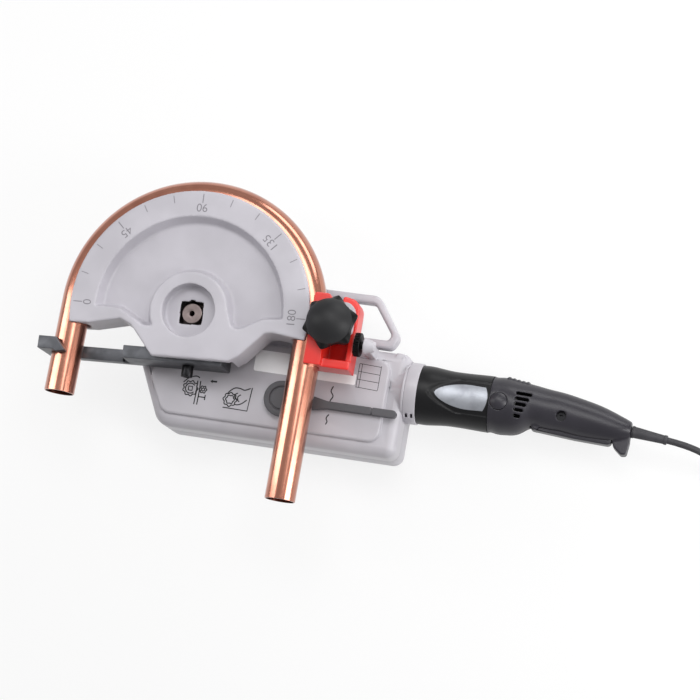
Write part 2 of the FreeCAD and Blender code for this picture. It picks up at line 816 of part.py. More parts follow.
motor_bearings = [
    moved(bearing_along_x(shaft_radius + running_fit, motor_bearing_radius, span), 0, motor_y, motor_z)
    for span in (motor_front_bearing, motor_rear_bearing)]
lay_bearings = [
    moved(bearing_along_x(layshaft_radius + running_fit, layshaft_bearing_radius, span),
          0, layshaft_y, layshaft_z)
    for span in (lay_front_bearing, lay_rear_bearing)]
parts["motor_bearings"] = Part.makeCompound(motor_bearings)
parts["layshaft_bearings"] = Part.makeCompound(lay_bearings)
shaft_b_bearings = [
    moved(ball_bearing(shaft_b_radius + running_fit, shaft_b_bearing_radius, *span), shaft_b_x, shaft_b_y)
    for span in (floor_bearing, shaft_b_upper)]
shaft_c_bearings = [
    moved(ball_bearing(shaft_c_radius + running_fit, shaft_c_bearing_radius, *span), shaft_c_x, shaft_c_y)
    for span in (floor_bearing, shaft_c_upper)]
parts["gear_shaft_bearings"] = Part.makeCompound(shaft_b_bearings + shaft_c_bearings)


# Gear housing: two cast shells, split across the spindle's axis.
def housing_corners(inset):
    """The plan of the housing, drawn in by inset all round."""
    i = inset
    left = -housing_head_radius + i
    right = housing_right_x - i
    low = housing_bottom_y + i
    high = housing_top_y - i
    seat_right = seat_right_x - i
    seat_left = seat_left_x - i
    return [(left, -54 + i, 8), (-31 + 0.6 * i, low, 22), (right, low, 12), (right, high, 9),
            (seat_right, high, 1), (seat_right, seat_top_y - i, 6), (seat_left, seat_top_y - i, 1),
            (seat_left, handle_outer_y - i, 4), (58, handle_outer_y - i, 14),
            (30, housing_head_radius - i, 20), (left, housing_head_radius - i, housing_head_radius - i - 2)]


def panel_corners(inset):
    """The plan of the raised panel that carries the signs, drawn in by inset all round."""
    i = inset
    right = housing_right_x - panel_step - 6 - i
    low = housing_bottom_y + panel_step + i
    high = housing_top_y - panel_step + 2 - i
    return [(-48 + i, -70, 14), (-26 + i, low, 16), (right, low, 14), (right, high, 14), (60, high, 4),
            (40, -48, 10), (-40 + i, -48, 10)]


def housing_shell(z0, z1, round_z, round_radius):
    body = slab(housing_corners(0), z0, z1)
    return soften(body, round_radius, level(round_z))


def neck_flange(side):
    """The round end of the housing that the neck is bolted to, in front of or behind the split."""
    start = housing_right_x - flange_length
    step = housing_right_x - flange_step
    flare = cone(neck_radius - 7, panel_z - motor_z, (start, motor_y, motor_z), (step, motor_y, motor_z))
    body = fuse([flare, bar_x(neck_radius, step, housing_right_x, motor_y, motor_z)])
    if side > 0:
        return body.common(box(start, housing_right_x, -200, 100, housing_split_z, 200))
    return body.common(box(start, housing_right_x, -200, 100, 0, housing_split_z))


def shaft_opening():
    return bar_x(shaft_opening_radius, housing_right_x - shaft_opening_length, housing_right_x + 1,
                 motor_y, motor_z)


def adjuster_lug():
    eye = cone(lug_radius, lug_tip_radius, (lug_x, adjuster_y, tube_plane_z),
               (lug_x + lug_length, adjuster_y, tube_plane_z))
    foot = box(lug_x, lug_x + lug_post_length, adjuster_y - lug_post_half, housing_top_y,
               lug_root_z, tube_plane_z)
    return fuse([eye, foot])


def gear_housing_rear():
    body = housing_shell(foot_height, housing_split_z, foot_height, 9.0)
    hollow = slab(housing_corners(housing_wall), floor_z, housing_split_z + 1)
    hollow = soften(hollow, 5.0, level(floor_z))
    low = floor_z - 1
    seats = []
    for radius, x, y, top in ((lower_bearing_radius, 0, 0, floor_bearing[1]),
                              (shaft_b_bearing_radius, shaft_b_x, shaft_b_y, floor_bearing[1]),
                              (shaft_c_bearing_radius, shaft_c_x, shaft_c_y, shaft_c_upper[1])):
        seats.append(tube_z(radius + seat_wall, radius + seat_fit, x, y, low, top))
    cap = post(cap_radius, 0, 0, 0, foot_height + 1)
    body = fuse([body, neck_flange(-1)]).cut([hollow, shaft_opening()])
    bosses = []
    holes = []
    for x, y in bolt_places:
        bosses.append(post(bolt_boss_radius, x, y, low, housing_split_z))
        holes.append(post(screw_shank_radius + seat_fit, x, y, 0, housing_split_z + 1))
        holes.append(post(screw_head_radius + seat_fit, x, y, 0, foot_height + screw_head_height))
    return fuse([body, cap] + seats + bosses).cut(holes)


def stud_slot():
    """The clamp's slot: the stud's head comes in through a hole from inside and slides along."""
    neck = stud_radius + seat_fit
    wide = stud_head_radius + 0.5
    end = stud_x + back_travel
    floor = stud_head_top - stud_head_height - 1
    lip = mount_plane_z - pad_lip
    return [box(stud_entry_x - neck, end + neck, stud_y - neck, stud_y + neck, floor, mount_plane_z + 1),
            box(stud_entry_x - wide, end + wide, stud_y - wide, stud_y + wide, floor, lip),
            post(wide, stud_entry_x, stud_y, housing_split_z, floor + 1)]


def gear_housing_front():
    shoulder = housing_shoulder_z
    body = housing_shell(housing_split_z, shoulder, shoulder, 12.0)
    panel = slab(panel_corners(0), shoulder - 14, panel_z)
    panel = soften(panel, 3.0, level(panel_z))
    pad = slab([(seat_left_x + 1, pad_down_y, 3), (pad_right_x, pad_down_y, 3),
                (pad_right_x, seat_top_y - 1, 5), (seat_left_x + 1, seat_top_y - 1, 3)],
               pad_root_z, mount_plane_z)
    hollow = slab(housing_corners(housing_wall), housing_split_z - 1, shoulder - housing_wall)
    hollow = soften(hollow, 8.0, level(shoulder - housing_wall))
    panel_hollow = slab(panel_corners(housing_wall), housing_split_z, panel_z - housing_wall)
    hub = post(hub_rim_radius, 0, 0, shoulder - 6, panel_z)
    bosses = [post(hub_boss_radius, 0, 0, upper_bearing[0], shoulder - 4),
              post(shaft_b_bearing_radius + 4, shaft_b_x, shaft_b_y, shaft_b_upper[0], shoulder - 4),
              post(lever_boss_radius, lever_x, lever_y, rail_z + 5, panel_z - 1),
              box(lay_front_bearing[0], lay_front_bearing[1], layshaft_y - 16, layshaft_y + 16,
                  housing_split_z, shoulder - 1),
              box(lay_rear_bearing[0], lay_rear_bearing[1], layshaft_y - 15, housing_top_y - 1,
                  housing_split_z, shoulder - 1)]
    lay_seat = layshaft_bearing_radius + seat_fit
    low = upper_bearing[0] - 1
    bores = [post(seal_radius, 0, 0, low, panel_z + 20),
             post(upper_bearing_radius + seat_fit, 0, 0, low, upper_bearing[1]),
             post(shaft_b_bearing_radius + seat_fit, shaft_b_x, shaft_b_y, housing_split_z - 1,
                  shaft_b_upper[1]),
             post(lever_shaft_radius + running_fit, lever_x, lever_y, housing_split_z - 1, panel_z + 1),
             bar_x(lay_seat, lay_front_bearing[0] - 1, lay_front_bearing[1] + 1, layshaft_y, layshaft_z),
             bar_x(lay_seat, lay_rear_bearing[0] - 1, lay_rear_bearing[1], layshaft_y, layshaft_z),
             bar_x(adjuster_screw_radius + running_fit, lug_x - 1, lug_x + lug_bore_length,
                   adjuster_y, tube_plane_z),
             bar_x(rail_radius + running_fit, rail_guides[0] - 1, rail_guides[1] + guide_length + 1,
                   rail_y, rail_z),
             shaft_opening()]
    body = fuse([body, panel, pad, neck_flange(1)]).cut([hollow, panel_hollow])
    for x, y in bolt_places:
        bosses.append(post(bolt_boss_radius, x, y, housing_split_z, shoulder - 3))
        bores.append(post(screw_shank_radius + seat_fit, x, y, housing_split_z - 1, bolt_top))
    for x in rail_guides:
        bosses.append(box(x, x + guide_length, rail_y - guide_half, rail_y + guide_half, rail_z - 7,
                          panel_z - 1))
    body = fuse([body, hub, adjuster_lug()] + bosses)
    return body.cut(bores + stud_slot())


parts["gear_housing_rear"] = gear_housing_rear()
parts["gear_housing_front"] = gear_housing_front()


# Back former: a cast block whose jaw holds the tube from outside, on a base that slides on the seat.
def back_former():
    left = rim_radius + 1.5
    right = back_outer_x
    down = -back_length_down
    up = back_length_up
    base = box(left, right, down, back_gap_y, back_bottom_z, back_base_top)
    jaw = slab([(left, down, 1), (back_jaw_x, down, 1), (back_jaw_x, up, 5), (left, up, 3)],
               back_bottom_z, back_top_z)
    end_up = down + back_end_thickness
    end_wall = slab([(left, down, 1), (right, down, 2), (right, end_up, 1), (left, end_up, 1)],
                    back_bottom_z, back_wall_top + 6)
    wall = box(right - back_wall_thickness, right, down + 5, back_gap_y, back_bottom_z, back_wall_top)
    corner = slab([(back_corner_left, 18, 2), (right, 14, 1), (right, up - 2, 13),
                   (back_corner_left + 1, up + 2, 3)], back_bottom_z, back_corner_top)
    body = fuse([base, jaw, end_wall, wall, corner])
    groove = rod(groove_radius, (bend_radius, down - 1, tube_plane_z), (bend_radius, up + 3, tube_plane_z))
    bore = post(stud_radius + seat_fit, stud_x, stud_y, back_bottom_z - 1, back_base_top + 1)
    return body.cut([groove, bore])


def clamp_stud():
    head = post(stud_head_radius, stud_x, stud_y, stud_head_top - stud_head_height, stud_head_top)
    shank = post(stud_radius, stud_x, stud_y, stud_head_top, knob_top_z - knob_thread_end)
    return fuse([head, shank])


def clamp_block():
    """A cast spacer whose top plate reaches over the back former's corner and wall."""
    left = back_jaw_x + seat_fit
    block = slab([(left, clamp_block_down, 2), (clamp_block_right, clamp_block_down, 4),
                  (clamp_block_right, clamp_block_up, 4), (left, clamp_block_up, 2)],
                 back_base_top, back_top_z)
    plate = slab([(left, clamp_plate_down, 0), (clamp_plate_right, clamp_plate_down, 6),
                  (clamp_plate_right, clamp_plate_up, 10), (left, clamp_plate_up, 3)],
                 back_corner_top + moving_gap, back_top_z)
    body = fuse([block, plate])
    return body.cut(post(stud_radius + seat_fit, stud_x, stud_y, back_base_top - 1, back_top_z + 1))


def star_knob():
    bottom = knob_base_z + knob_neck_height
    core = post(knob_radius, 0, 0, bottom, knob_top_z)
    lobes = []
    for i in range(knob_lobes):
        lobe = post(knob_lobe_radius, knob_lobe_circle, 0, bottom, knob_top_z)
        lobes.append(turned(lobe, knob_lobe_turn + 360.0 / knob_lobes * i))
    body = fuse([core] + lobes)
    dome = Part.makeSphere(knob_dome_radius, V(0, 0, knob_top_z - knob_dome_radius))
    body = body.common(dome)
    neck = post(knob_neck_radius, 0, 0, knob_base_z, bottom + 1)
    bore = post(stud_radius + running_fit, 0, 0, knob_base_z - 1, knob_top_z - knob_thread_end)
    return moved(fuse([body, neck]).cut(bore), stud_x, stud_y)


parts["back_former"] = back_former()
parts["clamp_stud"] = clamp_stud()
parts["clamp_block"] = clamp_block()
parts["clamp_collar"] = tube_z(collar_radius, stud_radius + seat_fit, stud_x, stud_y, back_top_z,
                               knob_base_z)
parts["star_knob"] = star_knob()


# Adjusting screw: a knurled disc that bears on the back former, on a screw in the housing's lug.
def adjusting_screw():
    end = disc_x + adjuster_thickness
    disc = bar_x(adjuster_radius, disc_x, end, adjuster_y, tube_plane_z)
    disc = soften(disc, 1.0, lambda middle, edge: edge.Length > 2 * adjuster_radius)
    screw_end = lug_x + lug_bore_length - back_travel - 0.5
    screw = bar_x(adjuster_screw_radius, end, screw_end, adjuster_y, tube_plane_z)
    grooves = []
    for i in range(adjuster_grooves):
        groove = bar_x(adjuster_groove_radius, disc_x + adjuster_rim, end - adjuster_rim, adjuster_y,
                       tube_plane_z + adjuster_radius)
        turn = 360.0 / adjuster_grooves * i
        grooves.append(turned(groove, turn, (0, adjuster_y, tube_plane_z), (1, 0, 0)))
    return fuse([disc, screw]).cut(grooves)


parts["adjusting_screw"] = adjusting_screw()


# Carrying handle: a cast loop bolted to the seat's end face and to its right face.
def carry_handle():
    z0 = handle_z - handle_depth / 2
    z1 = handle_z + handle_depth / 2
    top = handle_outer_y
    low = handle_foot_y
    inner = low + handle_bar
    outer = slab([(seat_left_x, top, 0), (handle_reach_x - 32, top, 14), (handle_reach_x, 14, 11),
                  (handle_reach_x - 8, low, 8), (seat_right_x, low, 0), (seat_right_x, inner, 0),
                  (seat_left_x, inner, 0)], z0, z1)
    window = slab([(seat_left_x - 1, top - handle_bar, 0), (handle_reach_x - 36, top - handle_bar, 8),
                   (handle_reach_x - 11, 16, 5), (handle_reach_x - 14, inner, 5),
                   (seat_left_x - 1, inner, 0)], z0 - 1, z1 + 1)

    def rim(middle, edge):
        back = level(z0)(middle, edge)
        front = level(z1)(middle, edge)
        beyond_seat = middle.x > seat_right_x + 0.5
        along_top = middle.x > seat_left_x + 1 and middle.y > top - 1
        return (back or front) and beyond_seat or front and along_top
    return soften(outer.cut(window), handle_edge, rim)


parts["carry_handle"] = carry_handle()

# Neck: a light alloy ring that joins the motor unit to the gear housing and holds the front bearing.
neck = tube_x(neck_radius, motor_bearing_radius + seat_fit, housing_right_x, motor_front_x,
              motor_y, motor_z)
neck_slots = []
for i in range(2):
    slot_x = housing_right_x + 2.5 + neck_slot_pitch * i
    neck_slots.append(box(slot_x, slot_x + neck_slot_width, motor_y - 31, motor_y - 27,
                          motor_z, motor_z + neck_radius))
parts["motor_neck"] = neck.cut([slot.common(neck) for slot in neck_slots])


def turned_shell(stations, wall):
    """A hollow body of revolution about the motor's axis, through stations (x, radius)."""
    def face(inward):
        curve = Part.BSplineCurve()
        curve.interpolate([V(x, r - inward, 0) for x, r in stations])
        first = V(stations[0][0], stations[0][1] - inward, 0)
        last = V(stations[-1][0], stations[-1][1] - inward, 0)
        edges = [curve.toShape(), Part.LineSegment(last, V(last.x, 0, 0)).toShape(),
                 Part.LineSegment(V(last.x, 0, 0), V(first.x, 0, 0)).toShape(),
                 Part.LineSegment(V(first.x, 0, 0), first).toShape()]
        return Part.Face(Part.Wire(edges)).revolve(V(0, 0, 0), V(1, 0, 0), 360)
    return moved(face(0).cut(face(wall)), 0, motor_y, motor_z)


motor_stations = [(motor_front_x, motor_front_radius), (motor_front_x + 14, motor_front_radius),
                  (motor_waist_x, motor_waist_radius),
                  (motor_seam_x - motor_seam_gap, motor_rear_radius)]
parts["motor_housing"] = turned_shell(motor_stations, motor_shell_wall)

# Rear handle: two moulded halves that meet on the motor's axis plane.
# Each station is x, middle y, half height along Y and half depth along Z.
grip_stations = [(motor_seam_x, motor_y, motor_rear_radius, motor_rear_radius),
                 (motor_seam_x + 9, motor_y - 0.1, motor_rear_radius, motor_rear_radius),
                 (motor_seam_x + 20, motor_y - 0.3, motor_rear_radius - 0.3, motor_rear_radius),
                 (motor_seam_x + 30, motor_y - 0.4, motor_rear_radius - 1.7, motor_rear_radius - 0.6),
                 (387, -43.4, 28.6, 30.2), (395, -41.0, 25.4, 28.0), (404, -41.1, 24.2, 26.2),
                 (412, -42.2, 24.2, 25.0), (430, -43.6, 23.6, 24.0), (450, -46.6, 22.9, 23.0),
                 (468, -48.9, 21.3, 21.8), (484, -51.2, 18.8, 20.0), (500, -53.0, 14.6, 17.0),
                 (handle_end_x, handle_end_y, 10.2, 13.0)]


def grip_loft(inward):
    """The grip's body, drawn in by inward on every side but at the seam."""
    wires = []
    last = grip_stations[-1][0]
    for x, middle, high, deep in grip_stations:
        points = []
        station_x = x if x < last else last - inward
        for i in range(grip_points):
            a = 2 * math.pi * i / grip_points + math.radians(grip_seam_turn)
            points.append(V(station_x, middle + (high - inward) * math.cos(a),
                            motor_z + (deep - inward) * math.sin(a)))
        curve = Part.BSplineCurve()
        curve.interpolate(Points=points, PeriodicFlag=True)
        wires.append(Part.Wire(curve.toShape()))
    return Part.makeLoft(wires, True, False)


grip_body = grip_loft(0)


def paddle_corners(play):
    """The plan of the paddle, grown by play on every side."""
    p = play
    return [(paddle_front_x - p, -60 + p, 2), (paddle_front_x - p, -67.5 - p, 4), (448, -71.5 - p, 60),
            (paddle_rear_x + p, -73 - p, 5), (paddle_rear_x + p, -64 + p, 2), (448, -63 + p, 30)]


def grip_guard():
    """The hook behind the paddle that keeps the hand from slipping off."""
    end = handle_end_x
    return slab([(end - 1, -54, 2), (end + 0.2, -66, 8), (end - 1.8, guard_drop_y + 0.5, 3),
                 (end - 8, guard_drop_y, 3), (end - 17.5, -74, 5), (end - 20, -62, 1)],
                motor_z - guard_width / 2, motor_z + guard_width / 2)


def grip_top(x):
    """The grip's highest y at x."""
    return max(wire.BoundBox.YMax for wire in grip_body.slice(V(1, 0, 0), x))


def grip_ribs():
    """Low ribs for the thumb, each part of a ring about the motor's axis."""
    ribs = []
    for i in range(rib_count):
        x = motor_seam_x + rib_offset + rib_pitch * i
        circle = grip_top(x) - motor_y - rib_sunk
        ring = Part.makeTorus(circle, rib_radius, V(x, motor_y, motor_z), V(1, 0, 0))
        ribs.append(ring.common(box(x - 3, x + 3, motor_y + 10, motor_y + 50,
                                    motor_z - rib_half_length, motor_z + rib_half_length)))
    return ribs


def grip_vents():
    cuts = []
    for i in range(vent_count):
        y = motor_y + vent_top - vent_pitch * i
        x1 = vent_start_x + vent_length - vent_shrink * i
        for way in (1, -1):
            near = motor_z + way * vent_side
            far = motor_z + way * grip_reach
            cuts.append(box(vent_start_x, x1, y - vent_width / 2, y + vent_width / 2,
                            min(near, far), max(near, far)))
    return cuts


def paddle_pocket():
    """The room that the paddle and its stroke need, and the bore for its pin."""
    side = paddle_width / 2 + moving_gap
    px, py = paddle_pivot
    stroke = slab([(paddle_front_x + 4, -66, 0), (paddle_rear_x + 0.5, -70, 0),
                   (paddle_rear_x + 0.5, -64 + paddle_stroke + 1, 0), (paddle_front_x + 4, -59, 0)],
                  motor_z - side, motor_z + side)
    return [slab(paddle_corners(moving_gap + 0.2), motor_z - side, motor_z + side), stroke,
            post(pivot_radius + seat_fit, px, py, motor_z - pivot_reach, motor_z + pivot_reach)]


def switch_room():
    x0, x1, y0, y1 = switch_block
    return box(x0 - seat_fit, x1 + seat_fit, y0 - seat_fit, y1 + seat_fit,
               motor_z - switch_half - seat_fit, motor_z + switch_half + seat_fit)


def grip_shell(side):
    inside = grip_loft(grip_wall)
    within = grip_loft(grip_wall / 2)
    bearing = motor_rear_bearing
    inner = [bar_x(motor_rear_radius - grip_wall / 2, bearing[0], bearing[1], motor_y, motor_z),
             post(pivot_boss_radius, *paddle_pivot, motor_z - 26, motor_z + 26)]
    for x in (switch_block[0] + 3, switch_block[1] - 6):
        inner.append(box(x, x + 3, switch_block[2] + 3, switch_block[3] - 2, motor_z - 30, motor_z + 30))
    holes = [bar_x(motor_bearing_radius + seat_fit, bearing[0] - 1, bearing[1] + 1, motor_y, motor_z),
             bar_x(relief_neck_radius + seat_fit, handle_end_x - 12, handle_end_x + 1, handle_end_y,
                   motor_z), switch_room()]
    for x, y, way in grip_screws:
        inner.append(post(grip_boss_radius, x, y, motor_z - 30, motor_z + 30))
        holes.append(post(screw_shank_radius + seat_fit, x, y, motor_z - way * (grip_screw_end + 1),
                          motor_z + way * grip_reach))
        holes.append(post(grip_screw_head_radius + seat_fit, x, y, motor_z + way * grip_screw_depth,
                          motor_z + way * grip_reach))
    for way in (1, -1):
        holes.append(post(brush_cap_radius + seat_fit, brush_x, motor_y, motor_z + way * 20,
                          motor_z + way * grip_reach))
    pin_boss = post(pivot_boss_radius, *paddle_pivot, motor_z - pivot_reach - 1, motor_z + pivot_reach + 1)
    body = grip_body.cut(inside).fuse(pin_boss)
    for piece in [grip_guard().cut(inside)] + grip_ribs() + [piece.common(within) for piece in inner]:
        body = body.fuse(piece)
    for hole in holes + paddle_pocket() + grip_vents():
        body = body.cut(hole)
    keep = box(motor_seam_x - 1, handle_end_x + 1, -120, 20, motor_z, 120)
    if side < 0:
        keep = box(motor_seam_x - 1, handle_end_x + 1, -120, 20, -20, motor_z)
    return body.common(keep)


parts["handle_shell_front"] = grip_shell(1)
parts["handle_shell_back"] = grip_shell(-1)

# Paddle switch: the paddle tips about its pin and presses the switch behind it.
paddle = slab(paddle_corners(0), motor_z - paddle_width / 2, motor_z + paddle_width / 2)
parts["switch_paddle"] = paddle.cut(post(pivot_radius + running_fit, *paddle_pivot, 0, 99))
parts["paddle_pin"] = post(pivot_radius, *paddle_pivot, motor_z - pivot_reach, motor_z + pivot_reach)
switch_nose = rod(switch_nose_radius, (switch_nose_x, switch_block[2], motor_z),
                  (switch_nose_x, switch_block[2] - switch_nose_length, motor_z))
parts["switch"] = fuse([box(*switch_block, motor_z - switch_half, motor_z + switch_half), switch_nose])


def brush_cap(way):
    """A round cap with a low dome, screwed into the grip over a brush."""
    inner_end = motor_z + way * (motor_rear_radius - motor_shell_wall)
    outer_end = motor_z + way * (motor_rear_radius + brush_cap_rise)
    dome = Part.makeSphere(brush_cap_dome, V(brush_x, motor_y, outer_end - way * brush_cap_dome))
    return post(brush_cap_radius, brush_x, motor_y, inner_end, outer_end).common(dome)


parts["brush_caps"] = Part.makeCompound([brush_cap(1), brush_cap(-1)])


# Selector lever: a cast lever whose shaft carries a crank that shifts the rail behind the panel.
def selector_lever():
    z0 = panel_z + moving_gap
    z1 = z0 + lever_thickness
    arm_top = z1 - lever_arm_drop
    ring = post(lever_ring_radius, lever_x, lever_y, z0, z1)
    half = lever_root_width / 2
    thin = lever_arm_width / 2
    tip = lever_x + lever_length
    below = [(lever_x, lever_y - 16, 0), (lever_neck_x, lever_y - half, 8),
             (lever_taper_x, lever_y - thin, 14), (tip, lever_y - thin, thin - 0.1)]
    above = [(x, 2 * lever_y - y, r) for x, y, r in reversed(below)]
    body = fuse([ring, slab(below + above, z0, arm_top)])
    ring_groove = tube_z(lever_disc_radius + 1.4, lever_disc_radius, lever_x, lever_y, z1 - 1.6, z1 + 1)
    arm_groove = tube_x(20.0, thin - 0.7, lever_groove_x, lever_groove_x + lever_groove_width, lever_y,
                        (z0 + arm_top) / 2)
    crank_z = rail_z - 18
    shaft = post(lever_shaft_radius, lever_x, lever_y, crank_z, z0 + 1)
    crank = slab([(lever_x - 6, lever_y - 6, 3), (lever_x + 6, lever_y - 6, 3),
                  (lever_x + 5, rail_y + 5, 4), (lever_x - 5, rail_y + 5, 4)],
                 crank_z, crank_z + crank_thickness)
    pin = post(crank_pin_radius, lever_x, rail_y, crank_z + 1, rail_z - rail_radius - 0.5)
    return fuse([body, shaft, crank, pin]).cut([ring_groove, arm_groove])


parts["selector_lever"] = selector_lever()


# Shift rail: a steel rod in two guides, with a yoke for the crank's pin and a fork for the dog sleeve.
def shift_rail():
    bar = bar_x(rail_radius, rail_guides[0] - 8, sleeve_x + 8, rail_y, rail_z)
    under = rail_z - rail_radius
    yoke = box(lever_x - 9, lever_x + 9, rail_y - 5, rail_y + 5, under - 8, rail_z)
    play = crank_pin_radius + moving_gap
    gap = box(lever_x - play, lever_x + play, rail_y - 6, rail_y + 6, under - 9, under)
    x0 = sleeve_x - fork_thickness / 2
    x1 = sleeve_x + fork_thickness / 2
    room = bar_x(sleeve_groove_radius + moving_gap, x0, x1, layshaft_y, layshaft_z)
    web = box(x0, x1, rail_y, layshaft_y - 10, rail_z - 6, rail_z + 6).cut(room)
    claw = bar_x(fork_outer_radius, x0, x1, layshaft_y, layshaft_z).cut(room)
    claw = claw.cut(box(x0 - 1, x1 + 1, layshaft_y + 2, layshaft_y + 30, 0, 120))
    hub = bar_x(7.0, x0 - 3, x1 + 3, rail_y, rail_z)
    return fuse([bar, yoke.cut(gap), web, claw, hub])


parts["shift_rail"] = shift_rail()


# Feet, the spindle's seal and the screws.
def socket_screw(x, y, head_z, tip_z, head_radius):
    """A socket-head screw along Z whose head lies at head_z, pointing to tip_z."""
    way = 1 if tip_z > head_z else -1
    head_end = head_z + way * screw_head_height
    head = post(head_radius, x, y, head_z, head_end)
    shank = post(screw_shank_radius, x, y, head_end, tip_z)
    socket = post(screw_socket_radius, x, y, head_z, head_z + way * screw_socket_depth)
    return fuse([head, shank]).cut(socket)


def grip_screw(x, y, way):
    head_z = motor_z + way * (grip_screw_depth + screw_head_height)
    return socket_screw(x, y, head_z, motor_z - way * grip_screw_end, grip_screw_head_radius)


parts["rubber_feet"] = Part.makeCompound([post(foot_radius, x, y, 0, foot_height) for x, y in foot_places])
parts["spindle_seal"] = tube_z(seal_radius - seat_fit, spindle_radius + running_fit, 0, 0,
                               upper_bearing[1], panel_z)
parts["housing_screws"] = Part.makeCompound([
    socket_screw(x, y, foot_height, bolt_top - 1, screw_head_radius) for x, y in bolt_places])
parts["handle_screws"] = Part.makeCompound([grip_screw(*place) for place in grip_screws])

# Mains cord: a tapered relief, the free stretch, a coil of two layers and the plug.
turn = math.radians(relief_turn)
relief_way = V(math.cos(turn), -math.sin(turn), 0)
relief_start = V(handle_end_x + relief_flange / 2, handle_end_y, motor_z)
cord_exit = relief_start + relief_way * relief_length
relief_neck = bar_x(relief_neck_radius, handle_end_x - relief_neck_length, handle_end_x,
                    handle_end_y, motor_z)
relief_cone = Part.makeCone(relief_root_radius, relief_tip_radius, relief_length, relief_start,
                            relief_way)
relief_collar = bar_x(relief_collar_radius, handle_end_x, handle_end_x + relief_flange,
                      handle_end_y, motor_z)
parts["strain_relief"] = fuse([relief_neck, relief_collar, relief_cone])

cord_radius = cord_diameter / 2
steady_pitch = coil_pitch / (2 * math.pi)
coil_lead = math.atan(steady_pitch / coil_outer_radius)
coil_x = coil_start_x + coil_outer_radius * math.sin(coil_lead)
coil_y = cord_floor_y - coil_outer_radius * math.cos(coil_lead)
climb_middle = 2 * math.pi * coil_turns_each_layer
least_radius = coil_outer_radius - coil_pitch * coil_turns_each_layer


def coil_point(s):
    """The coil's middle line at winding angle s: in along the floor, up a layer, and out again."""
    u = s - climb_middle
    quarter = math.pi / 2
    if u < -quarter:
        radius = coil_outer_radius - steady_pitch * s
        z = cord_radius
    elif u > quarter:
        radius = least_radius + coil_pitch / 4 + steady_pitch * (u - quarter)
        z = cord_radius + coil_layer_rise
    else:
        radius = least_radius + steady_pitch * (u * u / math.pi + math.pi / 4)
        z = cord_radius + coil_layer_rise * (0.5 + 0.5 * math.sin(u))
    a = s - coil_lead
    return V(coil_x + radius * math.sin(a), coil_y + radius * math.cos(a), z)


def coil_way(s):
    step = 1e-4
    way = coil_point(s + step) - coil_point(s - step)
    return way.normalize()


def middle_of_arc(start, way, end):
    """The point halfway along the arc that leaves start along way and reaches end."""
    chord = end - start
    along = chord * (1 / chord.Length)
    side = way - along * way.dot(along)
    if side.Length < 1e-9:
        return None
    bend = way.getAngle(along)
    side.normalize()
    return start + chord * 0.5 + side * (chord.Length / 2 * math.tan(bend / 2))


def arc_edge(start, middle, end):
    if middle is None:
        return Part.LineSegment(start, end).toShape()
    return Part.Arc(start, middle, end).toShape()


def biarc(p0, t0, p1, t1):
    """Two arcs that leave p0 along t0, meet smoothly, and reach p1 along t1."""
    v = p1 - p0
    along = v.dot(t0 + t1)
    share = 2 * (1 - t0.dot(t1))
    d = (-along + math.sqrt(along * along + share * v.dot(v))) / share
    meet = (p0 + p1 + (t0 - t1) * d) * 0.5
    return [arc_edge(p0, middle_of_arc(p0, t0, meet), meet),
            arc_edge(meet, middle_of_arc(p1, t1 * -1, meet), p1)]


def coil_tube():
    last = 2 * climb_middle
    steps = 8 * coil_turns_each_layer
    first_point = coil_point(0)
    edges = [Part.LineSegment(first_point - coil_way(0) * cord_diameter, first_point).toShape()]
    for i in range(steps):
        s0 = last * i / steps
        s1 = last * (i + 1) / steps
        edges += biarc(coil_point(s0), coil_way(s0), coil_point(s1), coil_way(s1))
    end = coil_point(last)
    edges.append(Part.LineSegment(end, end + coil_way(last) * cord_diameter).toShape())
    start = first_point - coil_way(0) * cord_diameter
    circle = Part.Wire(Part.makeCircle(cord_radius, start, coil_way(0)))
    path = Part.Wire(edges)
    tube = path.makePipeShell([circle], True, False)
    ratio = tube.Volume / (math.pi * cord_radius ** 2 * path.Length)
    print("coil length", round(path.Length, 1), "volume ratio", round(ratio, 4),
          "least gap", round(coil_gap(), 2))
    return tube


def coil_gap():
    """The least gap between the coil's turns, measured on points a few degrees apart."""
    count = 72
    points = [coil_point(2 * math.pi * i / count) for i in range(count * 2 * coil_turns_each_layer + 1)]
    least = 1e9
    for i in range(len(points)):
        for j in range(i + count // 3, len(points)):
            least = min(least, points[i].distanceToPoint(points[j]))
    return least - cord_diameter


coil_in = coil_point(0) - coil_way(0) * cord_diameter
coil_out_way = coil_way(2 * climb_middle)
coil_out = coil_point(2 * climb_middle) + coil_out_way * cord_diameter
cord_route = [tuple(cord_exit), (572.0, -59.5, 50.0), (597.0, -66.0, 41.0), (618.0, -77.0, 26.0),
              (637.0, -90.0, 10.5), (655.0, -96.8, 5.2), (674.0, cord_floor_y, cord_radius),
              tuple(coil_in)]
tail_route = [tuple(coil_out), tuple(coil_out + coil_out_way * 20), (747.0, -94.6, 9.5),
              (766.0, -92.0, plug_half_height), (784.0, -92.0, plug_half_height)]


